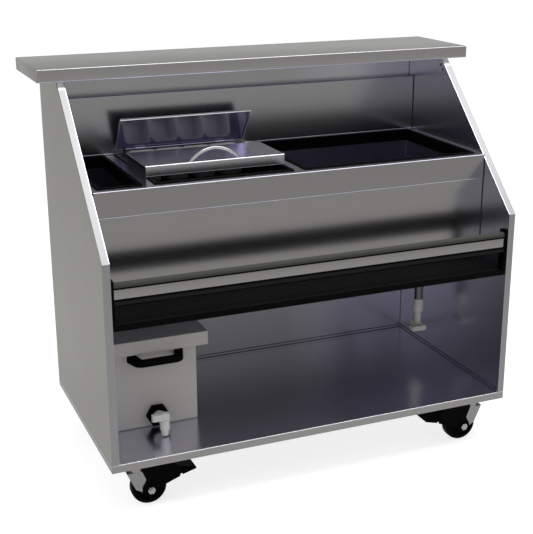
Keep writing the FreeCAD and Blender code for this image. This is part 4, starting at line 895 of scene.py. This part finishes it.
@dataclass
class Cabinet(SubAssembly):
    """Folded shell: base, ends, customer side, counter, deck and wells."""

    sheet: float = 0.0015
    counter_round: float = 0.0025
    edge_round: float = 0.0011
    hem_rise: float = 0.0018
    hem_depth: float = 0.0014
    splash_foot: float = 0.0024
    splash_foot_depth: float = 0.0008
    wall_hem: float = 0.0080
    wall_hem_depth: float = 0.0020
    foot_seal: float = 0.0015
    corner_seal: float = 0.0011
    joint_depth: float = 0.0030
    round_share: float = 0.7

    def dress(self) -> None:
        """Finish the sheets, the collars, the foam, the board and the screws."""
        paint(OUTER_ALONG, ["customer_panel"])
        paint(OUTER_UPRIGHT, ["left_panel", "right_panel"])
        paint(BASE_SHEET, ["base_pan"])
        paint(REAR_SHEET, ["rear_liner"])
        paint(DECK_SHEET, ["work_deck"])
        paint(SPLASH_SHEET, ["backsplash"])
        paint(APRON_SHEET, ["front_apron"])
        paint(SIDE_SHEET, ["left_liner", "right_liner"])
        paint(JACKET_SHEET, ["bin_jacket"])
        paint(LINER_SHEET, ["left_well_liner", "right_well_liner"])
        paint(SHADED_MIDDLE_LINER, ["middle_well_liner"])
        paint(BLACK_PLASTIC, ["left_well_collar", "middle_well_collar", "right_well_collar"])
        paint(FOAM, ["bin_insulation"])
        paint(BOARD, ["counter_core"])
        paint(SCREW_STEEL, ["panel_screws"])

    def build(self) -> None:
        """Model the counter, the deck's hem, the backsplash's foot and the sealed joints."""
        self._counter()
        self._hem()
        self._splash_foot()
        self._seals()

    def _counter(self) -> None:
        """Counter sheet with round bends, round lower edges and a hollow for its board."""
        low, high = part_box("counter_top")
        bench = Bench.block("counter_skin", low, high)
        bench.pick(Pick.EDGE, lambda at, run: abs(run.z) > ALONG or is_near(at.z, high.z))
        bench.bevel(self.counter_round, BEND_STEPS)
        bench.pick(Pick.EDGE, lambda at, run: is_near(at.z, low.z))
        bench.bevel(self.edge_round, EDGE_STEPS)
        bench.pick(Pick.FACE, lambda at, normal: normal.z < -SQUARE)
        bench.sink(self.sheet - self.edge_round, (0.0, 0.0, high.z - low.z - self.sheet))
        bench.hand_over("cabinet", "outer_steel", [COUNTER_SHEET.material()], ["counter_top"])

    def _hem(self) -> None:
        """Rolled hem on the lower edge of the deck's front flange."""
        low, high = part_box("work_deck")
        start = (low.x, low.y - self.hem_depth / 2.0, low.z)
        end = (high.x, low.y + self.hem_depth / 2.0, low.z + self.hem_rise)
        bench = Bench.strip("deck_hem", start, end, self.hem_depth * self.round_share, BEND_STEPS)
        # The hem is painted in a light colour, a painted highlight line.
        bench.hand_over("cabinet", "inner_steel", [HEM_EDGE.material()])

    def _splash_foot(self) -> None:
        """Turned-out foot of the backsplash, above the collars' rims."""
        low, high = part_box("backsplash")
        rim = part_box("right_well_collar")[1].z
        depth = self.splash_foot_depth
        start = (low.x, low.y - depth, rim)
        end = (high.x, low.y, rim + self.splash_foot)
        bench = Bench.strip("splash_foot", start, end, depth * self.round_share, EDGE_STEPS)
        # The foot is painted light, a painted highlight line.
        bench.hand_over("cabinet", "inner_steel", [FOOT_EDGE.material()])

    def _seals(self) -> None:
        """Beads of sealant along the hems of the store, in its corners and at the ends of the deck."""
        foot = self.foot_seal
        slim = self.corner_seal
        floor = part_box("base_pan")[1].z
        hem_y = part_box("rear_liner")[0].y
        hem_low, hem_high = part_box("right_liner")
        hem_x = hem_low.x
        rear = hem_y + self.wall_hem_depth
        right = hem_x + self.wall_hem_depth
        hem_top = floor + self.wall_hem
        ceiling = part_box("bin_jacket")[0].z
        deck_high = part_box("work_deck")[1]
        splash_low, splash_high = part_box("backsplash")
        apron_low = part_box("front_apron")[0]
        front = hem_low.y + self.wall_hem
        splash_back = splash_low.y + self.joint_depth
        apron_back = apron_low.y + self.joint_depth
        material = SEALANT.material()
        runs = {
            "foot_rear": ((-hem_x, hem_y - foot, floor), (hem_x, hem_y, floor + foot)),
            "hem_rear": ((-hem_x, hem_y, hem_top), (hem_x, rear, hem_top + foot)),
            "foot_end": ((hem_x - foot, front, floor), (hem_x, hem_y - foot, floor + foot)),
            "hem_end": ((hem_x, front, hem_top), (right, hem_y, hem_top + foot)),
            "store_corner": ((right - slim, rear - slim, hem_top + foot), (right, rear, ceiling)),
            "splash_end": ((deck_high.x, splash_low.y, deck_high.z), (right, splash_back, splash_high.z)),
            "wall_corner": ((right - slim, rear - slim, splash_high.z), (right, rear, hem_high.z)),
            "apron_end": ((deck_high.x, apron_low.y, apron_low.z), (right, apron_back, deck_high.z)),
        }
        for name, (low, high) in runs.items():
            sides = {"": 1.0} if name.endswith("_rear") else {"_right": 1.0, "_left": -1.0}
            for side, sign in sides.items():
                ends = sorted((low[0] * sign, high[0] * sign))
                self._seal(f"seal_{name}{side}", (ends[0], *low[1:]), (ends[1], *high[1:]), material)

    def _seal(self, name: str, low: Triple, high: Triple, material: bpy.types.Material) -> None:
        """One bead of sealant, rounded towards the room.

        Args:
            name: Name of the bead.
            low: Its lowest corner.
            high: Its highest corner.
            material: Finish of the bead.
        """
        size = Vector(high) - Vector(low)
        length = max(size)
        inward = Vector((-1.0 if low[0] > 0.0 else 1.0, -1.0, 1.0))
        middle = (Vector(low) + Vector(high)) / 2.0
        across = [axis for axis in range(len(size)) if not is_near(size[axis], length)]

        def faces_room(at: Vector, run: Vector) -> bool:
            """Whether an edge runs along the bead and stands on its free side."""
            away = at - middle
            is_free = all(away[axis] * inward[axis] > 0.0 for axis in across)
            return is_free and abs(run.dot(size)) > ALONG * length

        bench = Bench.block(name, low, high)
        bench.pick(Pick.EDGE, faces_room)
        bench.bevel(min(size) * self.round_share, BEND_STEPS)
        bench.hand_over("cabinet", "black_rubber", [material])


@dataclass
class SpeedRail(SubAssembly):
    """Bottle rail in front of the deck."""

    band_round: float = 0.0006

    def dress(self) -> None:
        """Finish the tray, the posts and the bar."""
        paint(TRAY_PLASTIC, ["rail_tray"])
        paint(BLACK_PLASTIC, ["rail_posts"])
        paint(BAR_PLASTIC, ["rail_bar"])

    def build(self) -> None:
        """Model the band with rounded edges."""
        bench = Bench.block("rail_trim", *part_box("rail_band"))
        bench.pick(Pick.EDGE, lambda at, run: True)
        bench.bevel(self.band_round, EDGE_STEPS)
        bench.hand_over("cabinet", "inner_steel", [APRON_SHEET.material()], ["rail_band"])


@dataclass
class MiddleWell(SubAssembly):
    """Sliding cover, condiment holder and lid over the middle well."""

    hem_rise: float = 0.0022
    hem_depth: float = 0.0014
    hem_round: float = 0.0010
    rim_gap: float = 0.0003
    end_inset: float = 0.0020

    def dress(self) -> None:
        """Finish the cover, the lid, the holder and the pans."""
        paint(COVER_SHEET, ["bin_cover"])
        paint(LID_SHEET, ["condiment_lid", "lid_hinge_pin"])
        paint(HOLDER_SHEET, ["condiment_holder"])
        paint(HANDLE_BAR, ["cover_handle"])
        paint(PAN_PLASTIC, ["condiment_pans"])

    def build(self) -> None:
        """Model the rolled hem on the lower edge of the cover's front."""
        low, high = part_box("bin_cover")
        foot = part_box("middle_well_collar")[1].z + self.rim_gap
        start = (low.x + self.end_inset, low.y - self.hem_depth / 2.0, foot)
        end = (high.x - self.end_inset, low.y + self.hem_depth / 2.0, foot + self.hem_rise)
        bench = Bench.strip("cover_hem", start, end, self.hem_round, BEND_STEPS)
        # The hem is painted dark, as painted shade.
        bench.hand_over("cover", "inner_steel", [COVER_HEM.material()])


@dataclass
class WaterTank(SubAssembly):
    """Tank with its lid, handle and tap, and the drain of the right well."""

    def dress(self) -> None:
        """Finish the tank, its handle, the taps and the drain pipe."""
        paint(TANK_PLASTIC, ["tank_body"])
        paint(TANK_LID_PLASTIC, ["tank_lid"])
        paint(BLACK_PLASTIC, ["tank_handle", "tap_nut"])
        paint(TAP_PLASTIC, ["tap_body", "tap_handle"])
        paint(DRAIN_PLASTIC, ["drain_tap", "drain_handle"])
        paint(PIPE_STEEL, ["drain_pipe", "drain_strainer"])


@dataclass
class Casters(SubAssembly):
    """Four casters, the front two with brakes.

    The rim lists each corner's rise above the tyre's foot and its way in from the tyre's side. The crown
    lists each corner's drop below the tread and the same way in.
    """

    names: tuple[str, ...] = ("front_left", "front_right", "rear_left", "rear_right")
    braked: tuple[str, ...] = ("front_left", "front_right")
    bore: float = 0.0062
    bore_round: float = 0.0006
    hub_radius: float = 0.0145
    hub_half: float = 0.0210
    hub_round: float = 0.0012
    hub_draft: float = 0.0010
    web_half: float = 0.0100
    web_draft: float = 0.0018
    tyre_foot: float = 0.0350
    tyre_half: float = 0.0188
    tread_radius: float = 0.04998
    rim: Pairs = ((0.0, 0.0014), (0.0008, 0.0002))
    crown: Pairs = ((0.0082, 0.0), (0.0054, 0.0008), (0.0030, 0.0026), (0.0014, 0.0052), (0.0004, 0.0090))
    spin_steps: int = 60
    spokes: int = 6
    spoke_share: float = 0.3
    spoke_rise: float = 0.0030

    def dress(self) -> None:
        """Finish the plates, the forks, the bolts and the brakes."""
        paint(ZINC, ["caster_plates", "base_channels"] + [f"caster_fork_{name}" for name in self.names])
        paint(BOLT_ZINC, ["caster_bolts"] + [f"caster_axle_{name}" for name in self.names])
        housings = [f"brake_housing_{name}" for name in self.braked]
        paint(BLACK_PLASTIC, housings + [f"brake_pedal_{name}" for name in self.braked])

    def build(self) -> None:
        """Model one wheel and copy it to the other casters."""
        materials = [BLACK_PLASTIC.material(), RUBBER.material()]
        middles = {name: sum(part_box(f"caster_wheel_{name}"), Vector()) / 2.0 for name in self.names}
        first = middles[self.names[0]]
        model = self._wheel(f"wheel_{self.names[0]}", first)
        wheels = {name: model.copy(f"wheel_{name}", middles[name] - first) for name in self.names[1:]}
        for name, wheel in {self.names[0]: model, **wheels}.items():
            wheel.hand_over(f"wheel_{name}", "black_rubber", materials, [f"caster_wheel_{name}"])

    def _outline(self) -> Pairs:
        """Half of the wheel's section and its mirror image: bore, hub, web, tyre and crowned tread."""
        half = [
            (self.bore, self.hub_half - self.bore_round),
            (self.bore + self.bore_round, self.hub_half),
            (self.hub_radius - self.hub_round, self.hub_half),
            (self.hub_radius, self.hub_half - self.hub_round),
            (self.hub_radius + self.hub_draft, self.web_half),
            (self.tyre_foot - self.web_draft, self.web_half),
        ]
        half += [(self.tyre_foot + rise, self.tyre_half - inset) for rise, inset in self.rim]
        half += [(self.tread_radius - drop, self.tyre_half - inset) for drop, inset in self.crown]
        mirrored = [(radius, -along) for radius, along in half]
        return mirrored + [(self.tread_radius, 0.0)] + half[::-1]

    def _wheel(self, name: str, middle: Vector) -> Bench:
        """Wheel with a crowned rubber tyre on a spoked core.

        Args:
            name: Name of the piece.
            middle: Middle of the wheel.

        Returns:
            The bench with the wheel on it.
        """
        bench = Bench.turned(name, middle, self._outline(), self.spin_steps)
        for sign in (-1.0, 1.0):
            self._raise_spokes(bench, middle, sign)
        mesh = bench.piece.data
        # Faces can only point to slots that exist; these two are filled when the wheel is handed over.
        mesh.materials.append(None)
        mesh.materials.append(None)
        for face in mesh.polygons:
            away = face.center - middle
            face.material_index = int(math.hypot(away.x, away.z) > self.tyre_foot)
        return bench

    def _raise_spokes(self, bench: Bench, middle: Vector, sign: float) -> None:
        """Draw the spokes out of one side of the web.

        Args:
            bench: Bench with the wheel on it.
            middle: Middle of the wheel.
            sign: Direction of that side along Y.
        """
        pitch = math.tau / self.spokes
        hub = self.hub_radius + self.hub_draft

        def is_spoke(at: Vector, normal: Vector) -> bool:
            """Whether a face of the web lies in a spoke."""
            away = at - middle
            turn = math.atan2(away.z, away.x) % pitch
            on_web = normal.y * sign > SQUARE and hub < away.length < self.tyre_foot
            return on_web and is_near(away.y * sign, self.web_half) and turn < self.spoke_share * pitch

        bench.pick(Pick.FACE, is_spoke)
        bench.draw_out((0.0, sign * self.spoke_rise, 0.0))


@dataclass(frozen=True)
class Lamp:
    """Soft area lamp; turns are degrees, power is watts."""

    name: str
    place: Triple
    turns: Triple
    size: tuple[float, float]
    power: float

    def hang(self) -> None:
        """Add the lamp to the scene."""
        data = bpy.data.lights.new(self.name, "AREA")
        data.shape = "RECTANGLE"
        data.size, data.size_y = self.size
        data.energy = self.power
        lamp = bpy.data.objects.new(self.name, data)
        lamp.location = self.place
        lamp.rotation_euler = [math.radians(turn) for turn in self.turns]
        bpy.context.scene.collection.objects.link(lamp)


@dataclass
class Studio:
    """Floor, soft light and the camera at the photograph's angle.

    Angles are degrees; the lens and the sensor are millimetres.
    """

    camera_place: Triple = (-1.2295, -2.8887, 1.5554)
    camera_yaw: float = 22.622
    camera_pitch: float = 18.047
    camera_roll: float = -0.185
    camera_reach: float = 100.0
    lens: float = 74.29
    sensor: float = 36.0
    floor_half: float = 12.0
    floor_colour: Colour = (0.5, 0.5, 0.5)
    floor_lift: float = 0.73
    sky_level: float = 0.55
    lamps: tuple[Lamp, ...] = (
        Lamp("overhead_lamp", (1.0, -0.65, 3.2), (0.0, 0.0, 0.0), (3.4, 1.5), 69.0),
        Lamp("left_lamp", (-3.4, -1.2, 2.2), (0.0, -65.0, 15.0), (2.5, 2.5), 40.0),
    )

    def build(self) -> None:
        """Make the camera, the floor, the world and the lamps."""
        self._camera()
        self._floor()
        self._world()
        for lamp in self.lamps:
            lamp.hang()

    def _camera(self) -> None:
        """Camera of the photograph."""
        data = bpy.data.cameras.new("photo_camera")
        data.sensor_width = self.sensor
        data.lens = self.lens
        data.clip_end = self.camera_reach
        camera = bpy.data.objects.new("photo_camera", data)
        bpy.context.scene.collection.objects.link(camera)
        turn = Matrix.Rotation(math.radians(-self.camera_yaw), 4, "Z")
        tilt = Matrix.Rotation(math.radians(90.0 - self.camera_pitch), 4, "X")
        roll = Matrix.Rotation(math.radians(self.camera_roll), 4, "Z")
        camera.matrix_world = Matrix.Translation(self.camera_place) @ turn @ tilt @ roll
        bpy.context.scene.camera = camera

    def _seen(self, graph: Graph) -> Signal:
        """Light Path: 1 where the background is looked at, straight or through metal and glass.

        Args:
            graph: Node tree to add it to.

        Returns:
            The mask.
        """
        straight = graph.node("ShaderNodeLightPath", output="Is Camera Ray")
        glossy = graph.node("ShaderNodeLightPath", output="Is Glossy Ray")
        through = graph.node("ShaderNodeLightPath", output="Is Transmission Ray")
        return straight.most(glossy).most(through)

    def _floor(self) -> None:
        """Pale floor that reads as white and keeps the shadow."""
        bpy.ops.object.select_all(action="DESELECT")
        bpy.ops.mesh.primitive_plane_add(size=2.0 * self.floor_half, location=(0.0, 0.0, 0.0))
        floor = bpy.context.object
        floor.name = "studio_floor"
        graph = Graph(bpy.data.materials.new("studio_floor"))
        matt = graph.node("ShaderNodeBsdfDiffuse", None, {"Color": self.floor_colour})
        level = self._seen(graph) * self.floor_lift
        glow = graph.node("ShaderNodeEmission", None, {"Color": WHITE, "Strength": level})
        graph.show(graph.node("ShaderNodeAddShader", None, {0: matt, 1: glow}))
        floor.data.materials.append(graph.owner)

    def _world(self) -> None:
        """White background with a lower level of light on the object."""
        world = bpy.data.worlds.new("studio_world")
        bpy.context.scene.world = world
        graph = Graph(world)
        level = self.sky_level + self._seen(graph) * (1.0 - self.sky_level)
        graph.show(graph.node("ShaderNodeBackground", None, {"Color": WHITE, "Strength": level}))


def main() -> None:
    """Dress the frame, build the small hardware and set up the studio."""
    logging.basicConfig(level=logging.INFO, format="%(message)s")
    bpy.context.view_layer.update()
    scene = bpy.context.scene
    scene.view_settings.view_transform = "Standard"
    for assembly in (Cabinet(), SpeedRail(), MiddleWell(), WaterTank(), Casters()):
        assembly.dress()
        assembly.build()
    Studio().build()


if __name__ == "__main__":
    main()
